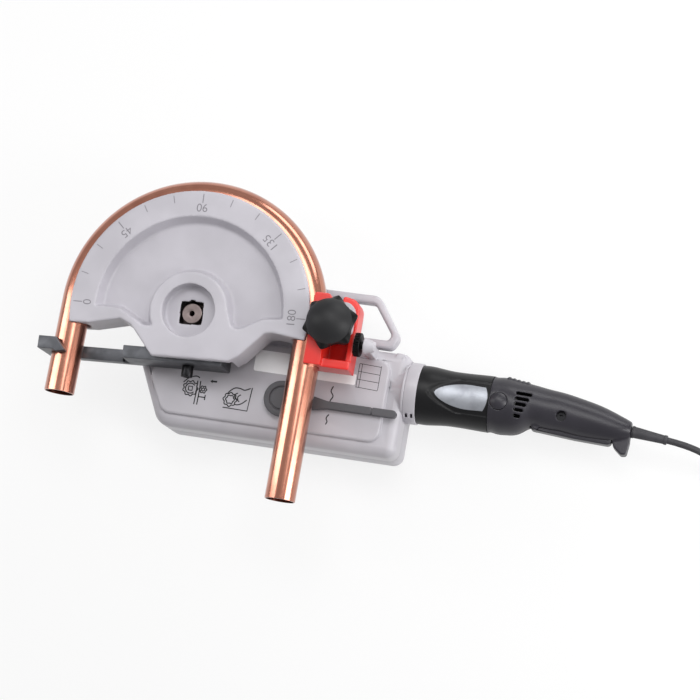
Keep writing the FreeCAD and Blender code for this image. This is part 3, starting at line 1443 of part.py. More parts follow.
def cord_tube(route, name):
    """Straight runs joined by tangent arcs, each as large as its two runs allow."""
    points = [V(*p) for p in route]
    edges = []
    start = points[0]
    length = 0.0
    radii = []
    for i in range(1, len(points) - 1):
        here = points[i]
        back = points[i - 1] - here
        ahead = points[i + 1] - here
        short = min(back.Length, ahead.Length)
        turn_angle = math.pi - back.getAngle(ahead)
        reach = arc_share * short
        radius = reach / math.tan(turn_angle / 2)
        radii.append(round(radius))
        back.normalize()
        ahead.normalize()
        middle = back + ahead
        middle.normalize()
        first = here + back * reach
        last = here + ahead * reach
        centre = here + middle * math.hypot(radius, reach)
        edges.append(Part.LineSegment(start, first).toShape())
        edges.append(Part.Arc(first, centre - middle * radius, last).toShape())
        length += first.distanceToPoint(start) + radius * turn_angle
        start = last
    edges.append(Part.LineSegment(start, points[-1]).toShape())
    length += start.distanceToPoint(points[-1])
    path = Part.Wire(edges)
    circle = Part.Wire(Part.makeCircle(cord_radius, points[0], points[1] - points[0]))
    tube = path.makePipeShell([circle], True, False)
    print(name, "radii", radii, "length", round(length, 1), "volume ratio",
          round(tube.Volume / (math.pi * cord_radius ** 2 * length), 4))
    return tube


def mains_plug():
    x, y, z = tail_route[-1]
    wide = plug_half_width
    end = x + plug_length
    body = slab([(x, y - plug_mouth_half, 2), (x, y + plug_mouth_half, 2), (x + plug_shoulder, y + wide, 10),
                 (end, y + wide, 4), (end, y - wide, 4), (x + plug_shoulder, y - wide, 10)], 0, 2 * z)
    body = soften(body, 5.0, lambda middle, edge: level(0)(middle, edge) or level(2 * z)(middle, edge))
    pins = []
    for side in (1, -1):
        pins.append(bar_x(plug_pin_radius, end - 1, end + plug_pin_length,
                          y + side * plug_pin_spacing / 2, z))
    return fuse([body] + pins)


parts["cord_free"] = cord_tube(cord_route, "free stretch")
parts["cord_coil"] = coil_tube()
parts["cord_tail"] = cord_tube(tail_route, "tail")
parts["mains_plug"] = mains_plug()

os.makedirs("parts", exist_ok=True)
for name, shape in parts.items():
    shape.exportStep("parts/" + name + ".step")
    state = "valid" if shape.isValid() else "NOT VALID"
    print(name, len(shape.Solids), "solids", round(shape.Volume / 1000, 1), "cm3", state)
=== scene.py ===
import bmesh
import bpy
import math
from mathutils import Matrix, Vector


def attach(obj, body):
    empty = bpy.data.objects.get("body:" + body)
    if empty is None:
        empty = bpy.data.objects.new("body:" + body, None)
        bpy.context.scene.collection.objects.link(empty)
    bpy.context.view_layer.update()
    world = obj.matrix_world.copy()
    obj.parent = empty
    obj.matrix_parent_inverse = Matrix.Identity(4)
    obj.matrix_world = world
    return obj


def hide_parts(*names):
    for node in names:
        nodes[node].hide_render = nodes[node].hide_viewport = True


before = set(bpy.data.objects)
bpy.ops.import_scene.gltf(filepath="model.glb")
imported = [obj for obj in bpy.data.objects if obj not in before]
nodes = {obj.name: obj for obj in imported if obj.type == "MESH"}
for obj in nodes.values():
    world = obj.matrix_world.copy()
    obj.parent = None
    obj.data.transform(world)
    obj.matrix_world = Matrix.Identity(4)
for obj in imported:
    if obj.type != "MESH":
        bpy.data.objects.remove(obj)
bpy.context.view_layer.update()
scene = bpy.context.scene
mm = 0.001


# Floor, light and camera. The machine lies on its back on a plain pale floor under large soft lamps.
# The camera stands 2.5 m away and looks down on it, some 16 degrees off the plumb line.
class Value:
    """One output of a material's node, with the arithmetic that the finishes are written in."""

    def __init__(self, finish, node, output=0):
        self.finish = finish
        self.node = node
        self.socket = node.outputs[output]

    def out(self, name):
        return Value(self.finish, self.node, name)

    def maths(self, operation, left, right=0.0):
        return self.finish.add("ShaderNodeMath", {"operation": operation}, {0: left, 1: right})

    def __add__(self, other):
        return self.maths("ADD", self, other)

    def __mul__(self, other):
        return self.maths("MULTIPLY", self, other)

    def root(self):
        return self.maths("SQRT", self)

    def at_least(self, other):
        return self.maths("MAXIMUM", self, other)

    def rise(self, low, high):
        """0 below low, 1 above high, and smooth between."""
        return self.finish.add("ShaderNodeMapRange", {"interpolation_type": "SMOOTHSTEP"},
                               {"Value": self, "From Min": low, "From Max": high})


class Finish:
    """A material in the making. add() makes any node, and set() fills the shader's sockets."""

    def __init__(self, name):
        self.material = bpy.data.materials.new(name)
        self.material.use_nodes = True
        self.tree = self.material.node_tree
        self.shader = self.tree.nodes["Principled BSDF"]

    def join(self, value, socket):
        if isinstance(value, Value):
            self.tree.links.new(value.socket, socket)
        else:
            socket.default_value = value

    def add(self, kind, settings=None, sockets=None):
        node = self.tree.nodes.new(kind)
        for name, value in (settings or {}).items():
            setattr(node, name, value)
        for name, value in (sockets or {}).items():
            self.join(value, node.inputs[name])
        return Value(self, node)

    def set(self, sockets):
        for name, value in sockets.items():
            self.join(value, self.shader.inputs[name])
        return self.material

    def place(self):
        return self.add("ShaderNodeTexCoord").out("Object")

    def noise(self, size, detail=2.0):
        """Soft blotches about size metres across."""
        sockets = {"Vector": self.place(), "Scale": 1 / size, "Detail": detail}
        return self.add("ShaderNodeTexNoise", None, sockets)

    def mix(self, share, first, second):
        node = self.add("ShaderNodeMix", {"data_type": "RGBA"}, {0: share, 6: first, 7: second})
        return Value(self, node.node, 2)

    def bump(self, height, depth, strength):
        return self.add("ShaderNodeBump", None, {"Height": height, "Distance": depth, "Strength": strength})


def shade(red, green, blue):
    """A colour from its three screen values, 0 to 255, as the shader needs it."""
    parts = []
    for value in (red, green, blue):
        v = value / 255
        parts.append(v / 12.92 if v <= 0.04045 else ((v + 0.055) / 1.055) ** 2.4)
    return (*parts, 1.0)


def new_piece(name, mesh, body):
    piece = bpy.data.objects.new(name, mesh)
    scene.collection.objects.link(piece)
    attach(piece, body)
    return piece


# The camera and the reflections see the floor nearly white. The light that falls on it still shows.
floor_half = 3.0
floor_glow = 0.8
floor_mesh = bpy.data.meshes.new("floor")
floor_mesh.from_pydata([(-floor_half, -floor_half, 0), (floor_half, -floor_half, 0),
                        (floor_half, floor_half, 0), (-floor_half, floor_half, 0)], [], [(0, 1, 2, 3)])
floor_object = bpy.data.objects.new("floor", floor_mesh)
scene.collection.objects.link(floor_object)
floor_finish = Finish("floor_sheet")
floor_finish.set({"Base Color": shade(240, 240, 240), "Roughness": 0.9, "Specular IOR Level": 0.1})
rays = floor_finish.add("ShaderNodeLightPath")
glow = floor_finish.add("ShaderNodeEmission", None, {"Color": (1.0, 1.0, 1.0, 1.0), "Strength": 1.0})
seen = (rays.out("Is Camera Ray") + rays.out("Is Glossy Ray")) * floor_glow
sheet = floor_finish.add("ShaderNodeMixShader", None, {0: seen})
floor_finish.tree.links.new(floor_finish.shader.outputs[0], sheet.node.inputs[1])
floor_finish.tree.links.new(glow.socket, sheet.node.inputs[2])
floor_finish.tree.links.new(sheet.socket, floor_finish.tree.nodes["Material Output"].inputs["Surface"])
floor_mesh.materials.append(floor_finish.material)

sky_light = 0.33
sky_in_gloss = 0.22
world = bpy.data.worlds.new("studio")
scene.world = world
world.use_nodes = True
sky = world.node_tree.nodes["Background"]
sky.inputs["Color"].default_value = (1.0, 1.0, 1.0, 1.0)
sky_paths = world.node_tree.nodes.new("ShaderNodeLightPath")
sky_level = world.node_tree.nodes.new("ShaderNodeMapRange")
sky_level.inputs["To Min"].default_value = sky_light
sky_level.inputs["To Max"].default_value = 1.0
world.node_tree.links.new(sky_paths.outputs["Is Camera Ray"], sky_level.inputs["Value"])
sky_gloss = world.node_tree.nodes.new("ShaderNodeMath")
sky_gloss.operation = "MULTIPLY_ADD"
sky_gloss.inputs[1].default_value = sky_in_gloss
world.node_tree.links.new(sky_paths.outputs["Is Glossy Ray"], sky_gloss.inputs[0])
world.node_tree.links.new(sky_level.outputs[0], sky_gloss.inputs[2])
world.node_tree.links.new(sky_gloss.outputs[0], sky.inputs["Strength"])


def lamp(name, place, aim, wide, high, power):
    data = bpy.data.lights.new(name, "AREA")
    data.shape = "RECTANGLE"
    data.size = wide
    data.size_y = high
    data.energy = power
    light = bpy.data.objects.new(name, data)
    light.location = place
    light.rotation_euler = (Vector(aim) - Vector(place)).to_track_quat("-Z", "Y").to_euler()
    scene.collection.objects.link(light)


lamp("overhead_lamp", (0.35, 0.55, 1.5), (0.15, -0.02, 0.08), 1.5, 0.6, 12.0)
lamp("side_lamp", (1.35, -0.15, 0.62), (0.2, -0.05, 0.08), 0.4, 1.0, 9.5)
lamp("back_lamp", (0.75, 1.35, 0.6), (0.05, 0.05, 0.08), 1.2, 0.5, 8.0)
lamp("left_lamp", (-1.0, 0.1, 1.0), (0.1, 0.0, 0.08), 0.25, 1.2, 5.0)

# The camera's turn is an axis times an angle, and its shift is across its own view.
camera_turn = Vector((-0.19725, -0.19835, -0.15456))
camera_shift = Vector((-180.62, 41.18)) * mm
camera_distance = 2.5
camera_centre = Vector((0, 0, 118)) * mm
frame_pixels = 700
focal_pixels = 2176.4
sensor_width = 36.0
camera_data = bpy.data.cameras.new("camera")
camera_data.sensor_width = sensor_width
camera_data.lens = sensor_width * focal_pixels / frame_pixels
camera = bpy.data.objects.new("camera", camera_data)
scene.collection.objects.link(camera)
towards = Matrix.Rotation(camera_turn.length, 3, camera_turn).transposed()
stand = towards @ Vector((-camera_shift.x, -camera_shift.y, camera_distance)) + camera_centre
camera.matrix_world = Matrix.Translation(stand) @ towards.to_4x4()
scene.camera = camera
scene.view_settings.view_transform = "Standard"


# Gear housing: two aluminium castings, split across the spindle's axis and screwed from behind. They
# are painted silver grey, and the paint has a fine orange peel.
weld_reach = 0.002 * mm
flat_bend = math.radians(0.6)
rounded_bend = math.radians(32)
sharp_bend = 38


def refined_copy(node, name, body):
    """A piece with a CAD node's mesh, its corners merged and its flat faces joined."""
    bm = bmesh.new()
    bm.from_mesh(nodes[node].data)
    bmesh.ops.remove_doubles(bm, verts=bm.verts, dist=weld_reach)
    bmesh.ops.dissolve_limit(bm, angle_limit=flat_bend, verts=bm.verts, edges=bm.edges)
    mesh = bpy.data.meshes.new(name)
    bm.to_mesh(mesh)
    bm.free()
    return new_piece(name, mesh, body)


def settled(piece):
    """Turns a piece with its modifiers into a plain mesh, smooth but for its sharp bends."""
    graph = bpy.context.evaluated_depsgraph_get()
    plain = bpy.data.meshes.new_from_object(piece.evaluated_get(graph))
    piece.modifiers.clear()
    piece.data = plain
    plain.shade_smooth()
    plain.set_sharp_from_angle(angle=math.radians(sharp_bend))
    return piece


def eased(node, name, body, radius, steps=3):
    """A refined copy of a CAD node with every sharp edge rounded, which stands for the node."""
    piece = refined_copy(node, name, body)
    bevel = piece.modifiers.new("edges", "BEVEL")
    bevel.width = radius
    bevel.segments = steps
    bevel.limit_method = "ANGLE"
    bevel.angle_limit = rounded_bend
    bevel.use_clamp_overlap = False
    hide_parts(node)
    return settled(piece)


def softened(node, name, body, voxel, passes):
    """A refined copy of a cast or moulded CAD node with all its corners melted a little."""
    piece = refined_copy(node, name, body)
    remesh = piece.modifiers.new("skin", "REMESH")
    remesh.mode = "VOXEL"
    remesh.voxel_size = voxel
    melt = piece.modifiers.new("melt", "SMOOTH")
    melt.factor = 0.5
    melt.iterations = passes
    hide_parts(node)
    return settled(piece)


def toned(colour, factor, lift=0.0):
    """A colour made lighter or darker."""
    return (*(min(1.0, part * factor + lift) for part in colour[:3]), 1.0)


def cast_paint(name, colour, rough, peel=0.9 * mm):
    """Paint on a casting: an orange peel and a slow drift of tone. rough is its mean roughness."""
    finish = Finish(name)
    skin = finish.noise(peel)
    drift = finish.noise(70 * mm, 3.0)
    tones = finish.mix(drift.rise(0.3, 0.7), toned(colour, 0.93), toned(colour, 1.07))
    return finish.set({"Base Color": tones, "Roughness": skin * 0.12 + drift * 0.1 + (rough - 0.11),
                       "Normal": finish.bump(skin, 0.06 * mm, 0.6), "Specular IOR Level": 0.45})


def dress(piece, material):
    """Gives a piece, or a CAD node by its name, one material all over."""
    mesh = nodes[piece].data if isinstance(piece, str) else piece.data
    mesh.materials.clear()
    mesh.materials.append(material)


housing_paint = cast_paint("silver_grey_paint", shade(184, 181, 187), 0.36)
housing_front = eased("gear_housing_front", "housing_front_casting", "housing", 1.0 * mm)
housing_rear = eased("gear_housing_rear", "housing_rear_casting", "housing", 1.0 * mm)
clamp_spacer = eased("clamp_block", "clamp_spacer", "back_former", 0.8 * mm)
loop_handle = eased("carry_handle", "loop_handle", "housing", 1.6 * mm, 4)
for piece in (housing_front, housing_rear, clamp_spacer, loop_handle):
    dress(piece, housing_paint)


# Signs on the housing's cover: line drawings printed in dark ink, with no words, a bare white label,
# and a ruled table with empty cells. Each is a thin film on the cover's face.
cover_face = 83.0 * mm
film = 0.12 * mm
ink_low, ink_high = cover_face - film, cover_face + film
label_high = cover_face + 1.2 * film
sign_stroke = 1.35
table_stroke = 0.6
line_steps = 6


def smooth_line(points):
    """Points along a smooth line through the given ones."""
    line = []
    ends = [points[0]] + list(points) + [points[-1]]
    for i in range(len(points) - 1):
        a, b, c, d = (Vector(p) for p in ends[i:i + 4])
        for k in range(line_steps):
            t = k / line_steps
            line.append(0.5 * (2 * b + (c - a) * t + (2 * a - 5 * b + 4 * c - d) * t ** 2
                               + (3 * b - a - 3 * c + d) * t ** 3))
    line.append(Vector(points[-1]))
    return line


def add_prism(bm, outline, low, high):
    """A thin plate with the given outline, in millimetres, between two heights."""
    base = [bm.verts.new((p[0] * mm, p[1] * mm, low)) for p in outline]
    top = [bm.verts.new((p[0] * mm, p[1] * mm, high)) for p in outline]
    for i in range(len(base)):
        j = (i + 1) % len(base)
        bm.faces.new((base[i], base[j], top[j], top[i]))
    bm.faces.new(list(reversed(base)))
    bm.faces.new(top)


def add_stroke(bm, points, width, low, high):
    """A printed line of the given width along the points, in millimetres."""
    points = [Vector(p) for p in points]
    left = []
    right = []
    for i, here in enumerate(points):
        way = points[min(i + 1, len(points) - 1)] - points[max(i - 1, 0)]
        side = Vector((-way.y, way.x)).normalized() * width / 2
        left.append(here + side)
        right.append(here - side)
    add_prism(bm, left + right[::-1], low, high)


def arc(x, y, radius, start, end, steps):
    """Points on an arc about x and y, from one angle in degrees to another."""
    line = []
    for i in range(steps + 1):
        a = math.radians(start + (end - start) * i / steps)
        line.append((x + radius * math.cos(a), y + radius * math.sin(a)))
    return line


def finished_mesh(bm, name, sharp=sharp_bend):
    """Turns a bmesh to a mesh whose faces point outwards, smooth except where it bends sharply."""
    bmesh.ops.recalc_face_normals(bm, faces=bm.faces)
    mesh = bpy.data.meshes.new(name)
    bm.to_mesh(mesh)
    bm.free()
    mesh.shade_smooth()
    mesh.set_sharp_from_angle(angle=math.radians(sharp))
    return mesh


def scalloped(x, y, radius, wave, count, steps=72):
    """A closed wavy ring, such as a knurled knob seen from its end."""
    ring = []
    for i in range(steps + 1):
        a = 2 * math.pi * i / steps
        reach = radius + wave * math.cos(count * a)
        ring.append((x + reach * math.cos(a), y + reach * math.sin(a)))
    return ring


# A toothed wheel beside a tube and a small wheel, then a hand that turns a knob. The two waves mark
# the lever's places.
ink_lines = [
    scalloped(3.5, -80, 8.4, 0.8, 9), arc(3.5, -80, 5.9, 40, 320, 20),
    [(1.2, -82.4), (5.8, -82.4), (5.8, -77.8), (1.2, -77.8), (1.2, -82.4)],
    [(10.6, -70), (11.2, -84), (10.8, -98)], [(14.2, -70), (14.6, -84), (14.4, -98)],
    scalloped(18.8, -79.5, 3.9, 0.6, 6, 48), arc(18.8, -79.5, 1.8, 0, 360, 16),
    [(14.6, -88.5), (22.6, -88.5)], [(22.6, -91.6), (22.6, -85.4)],
    smooth_line([(12.4, -66.5), (8, -65), (0, -68), (-6, -74)]),
    scalloped(52.5, -86.5, 7.6, 0.7, 8), scalloped(52.5, -86.5, 4.8, 0.5, 6, 48),
    smooth_line([(74.6, -70.5), (68, -73.5), (62, -72.2), (56, -72.6), (50.5, -77), (48.6, -80.2)]),
    smooth_line([(60.5, -78), (57.2, -80.5), (58.4, -84.5), (61, -86)]),
    smooth_line([(64.5, -79.5), (61.4, -82), (61.8, -86), (63.8, -88)]),
    smooth_line([(72.4, -84.5), (67, -89.5), (62, -91.6), (58.4, -91.4)]),
    [(45.5, -96.6), (74.8, -97.2), (76.4, -69.6)],
    smooth_line([(170.2, -54.5), (168.4, -60.5), (171.6, -66), (169.2, -72), (170.6, -77)]),
    smooth_line([(170.6, -87.5), (168.2, -92), (169.8, -96), (168.6, -99.5)])]
arrow = [(25.4, -68.6), (28.4, -66.4), (28.4, -67.6), (33.6, -67.2), (33.6, -69.4), (28.4, -69.6),
         (28.4, -70.8)]
table_left, table_right, table_top = 196.0, 221.5, -24.0
table_column = 3.2
table_row = 9.2
table_rows = 3
table_lean = 1.2
table_lines = []
for i in range(table_rows + 1):
    level = table_top - i * table_row
    table_lines.append([(table_left, level), (table_right, level - table_lean)])
for x in (table_left, table_left + table_column, table_right):
    table_lines.append([(x, table_top), (x, table_top - table_rows * table_row - table_lean / 2)])
sign_ink = bmesh.new()
for line in ink_lines:
    add_stroke(sign_ink, line, sign_stroke, ink_low, ink_high)
add_prism(sign_ink, arrow, ink_low, ink_high)
for line in table_lines:
    add_stroke(sign_ink, line, table_stroke, ink_low, ink_high)
cover_signs = new_piece("cover_signs", finished_mesh(sign_ink, "cover_signs"), "housing")
ink = Finish("sign_ink")
worn = ink.noise(0.8 * mm)
ink_tones = ink.mix(worn.rise(0.55, 0.9), shade(20, 19, 22), shade(52, 50, 54))
dress(cover_signs, ink.set({"Base Color": ink_tones, "Roughness": worn * 0.2 + 0.4}))

label_outline = [(74.5, -24), (131, -24.2), (132.4, -25.5), (132.6, -38.2), (193.4, -37.2), (194.4, -38.2),
                 (194.4, -48.8), (193.4, -49.8), (75.2, -49.0), (73.6, -47.6), (73.4, -25.2)]
label_bm = bmesh.new()
add_prism(label_bm, label_outline, ink_low, label_high)
bare_label = new_piece("bare_label", finished_mesh(label_bm, "bare_label"), "housing")
vinyl = Finish("white_vinyl")
cloud = vinyl.noise(6 * mm)
vinyl_tones = vinyl.mix(cloud, shade(252, 252, 253), shade(246, 246, 248))
dress(bare_label, vinyl.set({"Base Color": vinyl_tones, "Roughness": cloud * 0.12 + 0.28,
                             "Normal": vinyl.bump(cloud, 0.05 * mm, 0.3)}))


# Gear train, shafts and bearings: cut, hardened and ground steel, which run in grease inside the
# housing. The spindle's square and its turned nose are the only part of them that shows.
def steel(name, colour, rough, streak=(0.25 * mm, 0.25 * mm, 6 * mm)):
    """Bare or blackened steel with fine streaks. streak is how long a mark is along X, Y and Z."""
    finish = Finish(name)
    stretch = tuple(1 / length for length in streak)
    spread = finish.add("ShaderNodeMapping", None, {"Vector": finish.place(), "Scale": stretch})
    marks = finish.add("ShaderNodeTexNoise", None, {"Vector": spread, "Scale": 1.0, "Detail": 3.0})
    stain = finish.noise(14 * mm, 3.0)
    tones = finish.mix(stain.rise(0.35, 0.75), colour, toned(colour, 0.72))
    return finish.set({"Base Color": tones, "Metallic": 0.9,
                       "Roughness": marks * 0.22 + stain * 0.1 + (rough - 0.16),
                       "Normal": finish.bump(marks, 0.02 * mm, 0.5)})


def turned_steel(name, colour, rough, pitch=0.5 * mm):
    """Steel with the fine rings that a lathe leaves about the Z axis."""
    finish = Finish(name)
    split = finish.add("ShaderNodeSeparateXYZ", None, {"Vector": finish.place()})
    x = split.out("X")
    y = split.out("Y")
    radius = (x * x + y * y).root()
    rings = finish.add("ShaderNodeTexNoise", {"noise_dimensions": "1D"}, {"W": radius, "Scale": 1 / pitch})
    stain = finish.noise(9 * mm, 3.0)
    tones = finish.mix(stain.rise(0.4, 0.8), colour, toned(colour, 0.7))
    return finish.set({"Base Color": tones, "Metallic": 0.85, "Roughness": rings * 0.25 + (rough - 0.1),
                       "Normal": finish.bump(rings, 0.05 * mm, 0.5)})


gear_steel = steel("gear_steel", shade(150, 149, 147), 0.36)
bright_steel = steel("ground_steel", shade(186, 185, 182), 0.26, (4 * mm, 0.2 * mm, 0.2 * mm))
for node in ("final_gear", "second_pinion_shaft", "second_gear", "third_pinion_shaft", "bevel_gear",
             "layshaft", "first_gear", "dog_sleeve"):
    dress(node, gear_steel)
for node in ("spindle_bearings", "gear_shaft_bearings", "layshaft_bearings", "motor_bearings", "shift_rail",
             "armature_shaft", "clamp_stud", "clamp_collar"):
    dress(node, bright_steel)
spindle_piece = eased("spindle", "spindle_turned", "former", 0.6 * mm)
dress(spindle_piece, turned_steel("spindle_steel", shade(128, 116, 114), 0.34))


# Motor: a wound armature in a laminated stator, with carbon brushes and a fan, under a moulded housing.
# The housing is anthracite nylon. Its front is drawn flat where the bare rating plate lies.
laminations = steel("laminated_steel", shade(96, 94, 92), 0.6, (0.5 * mm, 30 * mm, 30 * mm))
brass = steel("brass", shade(196, 160, 88), 0.34)
winding = steel("winding_copper", shade(168, 92, 56), 0.4, (8 * mm, 0.5 * mm, 0.5 * mm))


def moulded(name, colour, rough, grain=0.28 * mm, sheen=0.5):
    """Moulded plastic with an eroded texture and a slow drift of gloss."""
    finish = Finish(name)
    texture = finish.noise(grain)
    drift = finish.noise(40 * mm)
    tones = finish.mix(drift.rise(0.3, 0.75), colour, toned(colour, 1.18, 0.002))
    return finish.set({"Base Color": tones, "Roughness": texture * 0.12 + drift * 0.12 + (rough - 0.12),
                       "Normal": finish.bump(texture, 0.035 * mm, 0.55), "Specular IOR Level": sheen})


black_plastic = moulded("black_plastic", shade(24, 24, 26), 0.5)
motor_plastic = moulded("motor_black_plastic", shade(14, 14, 16), 0.36, sheen=0.24)
grip_plastic = moulded("anthracite_plastic", shade(36, 34, 41), 0.36, sheen=0.4)
for node, material in (("armature_core", laminations), ("stator", laminations), ("commutator", winding),
                       ("brush_holders", brass), ("motor_fan", black_plastic), ("switch", black_plastic)):
    dress(node, material)
neck_ring = eased("motor_neck", "neck_ring", "housing", 0.7 * mm)
dress(neck_ring, housing_paint)

motor_centre = Vector((-44.5, 50.0))
motor_sides = 128
motor_rings = 72
inner_stride = 6
motor_start, motor_end = 266.0, 348.6
mouth_radius = 34.4
mouth_lip, mouth_stretch = 0.5, (280, 266)
waist_radius, waist_stretch = 31.6, (268, 306)
seam_swell, seam_stretch = 0.9, (312, 349)
shell_wall = 2.8
shield_tip = 278.0
shield_half = 20.5
shield_edge = 2.6
shield_depth, shield_fade = 2.0, (12, 26)


def soft_step(value, low, high):
    """0 at low, 1 at high, and smooth between. low may be the greater one."""
    t = min(1.0, max(0.0, (value - low) / (high - low)))
    return t * t * (3 - 2 * t)


def motor_radius(x):
    """The shell's radius in millimetres: a wide mouth, a waist, and a little wider at the seam."""
    mouth = mouth_radius - mouth_lip * soft_step(x, *mouth_stretch)
    waist = mouth + (waist_radius - mouth) * soft_step(x, *waist_stretch)
    return waist + seam_swell * soft_step(x, *seam_stretch)


def shield_share(x, across):
    """1 inside the flattened shield on the shell's front, 0 outside it."""
    along = (x - shield_tip) / (motor_end - shield_tip)
    if along <= 0:
        return 0.0
    half = shield_half * min(1.0, along * 2.1) ** 0.55
    return 1 - soft_step(abs(across), half - shield_edge, half)


def flattened(height, x, across):
    """A height on the shell above its axis, lowered inside the shield."""
    return height - shield_depth * shield_share(x, across) * soft_step(height, *shield_fade)


def motor_ring(step, inward=0.0):
    """Points round the shell at a step along it, on its outside or a wall's thickness inward."""
    x = motor_start + (motor_end - motor_start) * step / motor_rings
    radius = motor_radius(x) - inward
    ring = []
    for i in range(motor_sides):
        a = 2 * math.pi * i / motor_sides
        across = radius * math.cos(a)
        up = radius * math.sin(a)
        if up > 0 and inward == 0.0:
            up = flattened(up, x, across)
        ring.append(Vector((x, motor_centre.x + across, motor_centre.y + up)) * mm)
    return ring


def skinned(rings, closed):
    """A mesh over rings of points. It joins the last ring to the first, or else has a cap at each end."""
    bm = bmesh.new()
    loops = [[bm.verts.new(point) for point in ring] for ring in rings]
    followers = loops[1:] + loops[:1] if closed else loops[1:]
    for near, far in zip(loops, followers):
        for i in range(len(near)):
            bm.faces.new((near[i - 1], near[i], far[i], far[i - 1]))
    if not closed:
        bm.faces.new(loops[0][::-1])
        bm.faces.new(loops[-1])
    return bm


motor_skin = [motor_ring(i) for i in range(motor_rings + 1)]
motor_skin += [motor_ring(i, shell_wall) for i in range(motor_rings, -1, -inner_stride)]
motor_mesh = finished_mesh(skinned(motor_skin, True), "motor_shell", 50)
motor_shell = new_piece("motor_shell", motor_mesh, "housing")
dress(motor_shell, motor_plastic)
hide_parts("motor_housing")


# Rating plate: a thin aluminium sheet, pointed towards the gears and laid on the motor's flattened
# shield. Nothing is printed on it.
plate_tip, plate_end = 286.0, 347.0
plate_half = 14.6
plate_point_half = 0.15
plate_taper = 0.06
plate_bow = 0.02
plate_steps = 36
plate_rows = 10
plate_top, plate_under = 0.35, -0.4


def plate_half_at(x):
    """Half the plate's width at x: a pointed nose that widens fast, then a slight taper."""
    along = (x - plate_tip) / (plate_end - plate_tip)
    nose = (1 - (1 - min(1.0, along * 1.25)) ** 2) ** 0.62
    return max(plate_point_half, plate_half * nose * (1 - plate_taper * soft_step(along, 0.6, 1.0)))


def plate_place(x, across, lift):
    """A point of the plate, lifted off the shell's skin."""
    height = flattened(math.sqrt(motor_radius(x) ** 2 - across ** 2), x, across)
    return Vector((x, motor_centre.x + across, motor_centre.y + height + lift)) * mm


plate_bm = bmesh.new()
sheets = []
for lift in (plate_top, plate_under):
    grid = []
    for i in range(plate_steps + 1):
        x = plate_tip + (plate_end - plate_tip) * i / plate_steps
        half = plate_half_at(x)
        line = []
        for k in range(-plate_rows, plate_rows + 1):
            across = half * k / plate_rows
            line.append(plate_bm.verts.new(plate_place(x - plate_bow * across ** 2, across, lift)))
        grid.append(line)
    sheets.append(grid)
rows = 2 * plate_rows
for grid, flip in ((sheets[0], False), (sheets[1], True)):
    for i in range(plate_steps):
        for k in range(rows):
            face = (grid[i][k], grid[i + 1][k], grid[i + 1][k + 1], grid[i][k + 1])
            plate_bm.faces.new(tuple(reversed(face)) if flip else face)
top, under = sheets
for i in range(plate_steps):
    plate_bm.faces.new((top[i + 1][0], top[i][0], under[i][0], under[i + 1][0]))
    plate_bm.faces.new((top[i][rows], top[i + 1][rows], under[i + 1][rows], under[i][rows]))
for i in (0, plate_steps):
    for k in range(rows):
        plate_bm.faces.new((top[i][k], top[i][k + 1], under[i][k + 1], under[i][k]))
rating_plate = new_piece("rating_plate", finished_mesh(plate_bm, "rating_plate"), "housing")
dress(rating_plate, steel("plate_aluminium", shade(162, 165, 172), 0.46, (9 * mm, 0.3 * mm, 0.3 * mm)))


# Rear handle: two moulded halves screwed together, with ribs for the thumb, cooling slots, the paddle
# switch below and a hook behind it that keeps the hand on the grip.
grip_front = softened("handle_shell_front", "grip_front_half", "housing", 0.9 * mm, 3)
grip_back = softened("handle_shell_back", "grip_back_half", "housing", 0.9 * mm, 3)
paddle_piece = eased("switch_paddle", "paddle", "paddle", 1.2 * mm, 4)
cap_pair = eased("brush_caps", "brush_cap_pair", "housing", 0.6 * mm)
for piece in (grip_front, grip_back, paddle_piece, cap_pair):
    dress(piece, grip_plastic)
black_steel = steel("blackened_screw", shade(38, 38, 40), 0.34)
for node in ("handle_screws", "housing_screws", "paddle_pin"):
    dress(node, black_steel)

# A thin black sheet stands behind the cooling slots as painted shade, so that the slots look dark inside.
vent_shade_low, vent_shade_high = 66.2 * mm, 67.0 * mm
vent_shade_outline = [(377.8, -60.0), (399.0, -60.0), (399.0, -27.0), (377.8, -27.0)]
vent_shade_bm = bmesh.new()
add_prism(vent_shade_bm, vent_shade_outline, vent_shade_low, vent_shade_high)
vent_shade_sheet = new_piece("vent_painted_shade", finished_mesh(vent_shade_bm, "vent_painted_shade"), "housing")
dress(vent_shade_sheet, moulded("vent_shade_black", shade(6, 6, 7), 0.9, sheen=0.05))


# Selector lever: a die-cast lever with a soft satin coat. It stands on the cover and turns the crank
# behind it, which moves the shift rail.
lever_coat = cast_paint("dark_lever_coat", shade(76, 75, 79), 0.45, 0.5 * mm)
lever_piece = softened("selector_lever", "lever", "selector_lever", 0.6 * mm, 4)
dress(lever_piece, lever_coat)


# Bending former: an aluminium casting, painted pale grey, whose grooved rim bends the tube. Its scale
# has a mark every 15 degrees and a plain numeral every 45.
former_paint = cast_paint("pale_former_paint", shade(186, 183, 190), 0.4, 1.1 * mm)
former_piece = softened("bending_former", "former_casting", "former", 1.45 * mm, 3)
dress(former_piece, former_paint)


def inlay(piece, material, chosen):
    """Gives a second material to the faces whose middle is chosen."""
    piece.data.materials.append(material)
    for face in piece.data.polygons:
        if chosen(face.center):
            face.material_index = 1


# The square socket's walls are painted near black. This is painted shade for the deep shadow inside the
# socket.
painted_shade_top = 123.8 * mm
socket_reach = 21 * mm
socket_painted_shade = Finish("socket_painted_shade")
socket_painted_shade.set({"Base Color": shade(13, 12, 13), "Roughness": socket_painted_shade.noise(1.5 * mm) * 0.2 + 0.4})
inlay(former_piece, socket_painted_shade.material,
      lambda middle: middle.z < painted_shade_top and middle.xy.length < socket_reach)
former_turned = 3.0
former_face = 139.5 * mm
# The scale's marks and numerals are a thin darker grey film on the former's face. They stand for engraved
# marks, and their darker tone is painted shade for the grooves.
scale_shade_grey = cast_paint("scale_painted_shade", shade(128, 125, 131), 0.6)


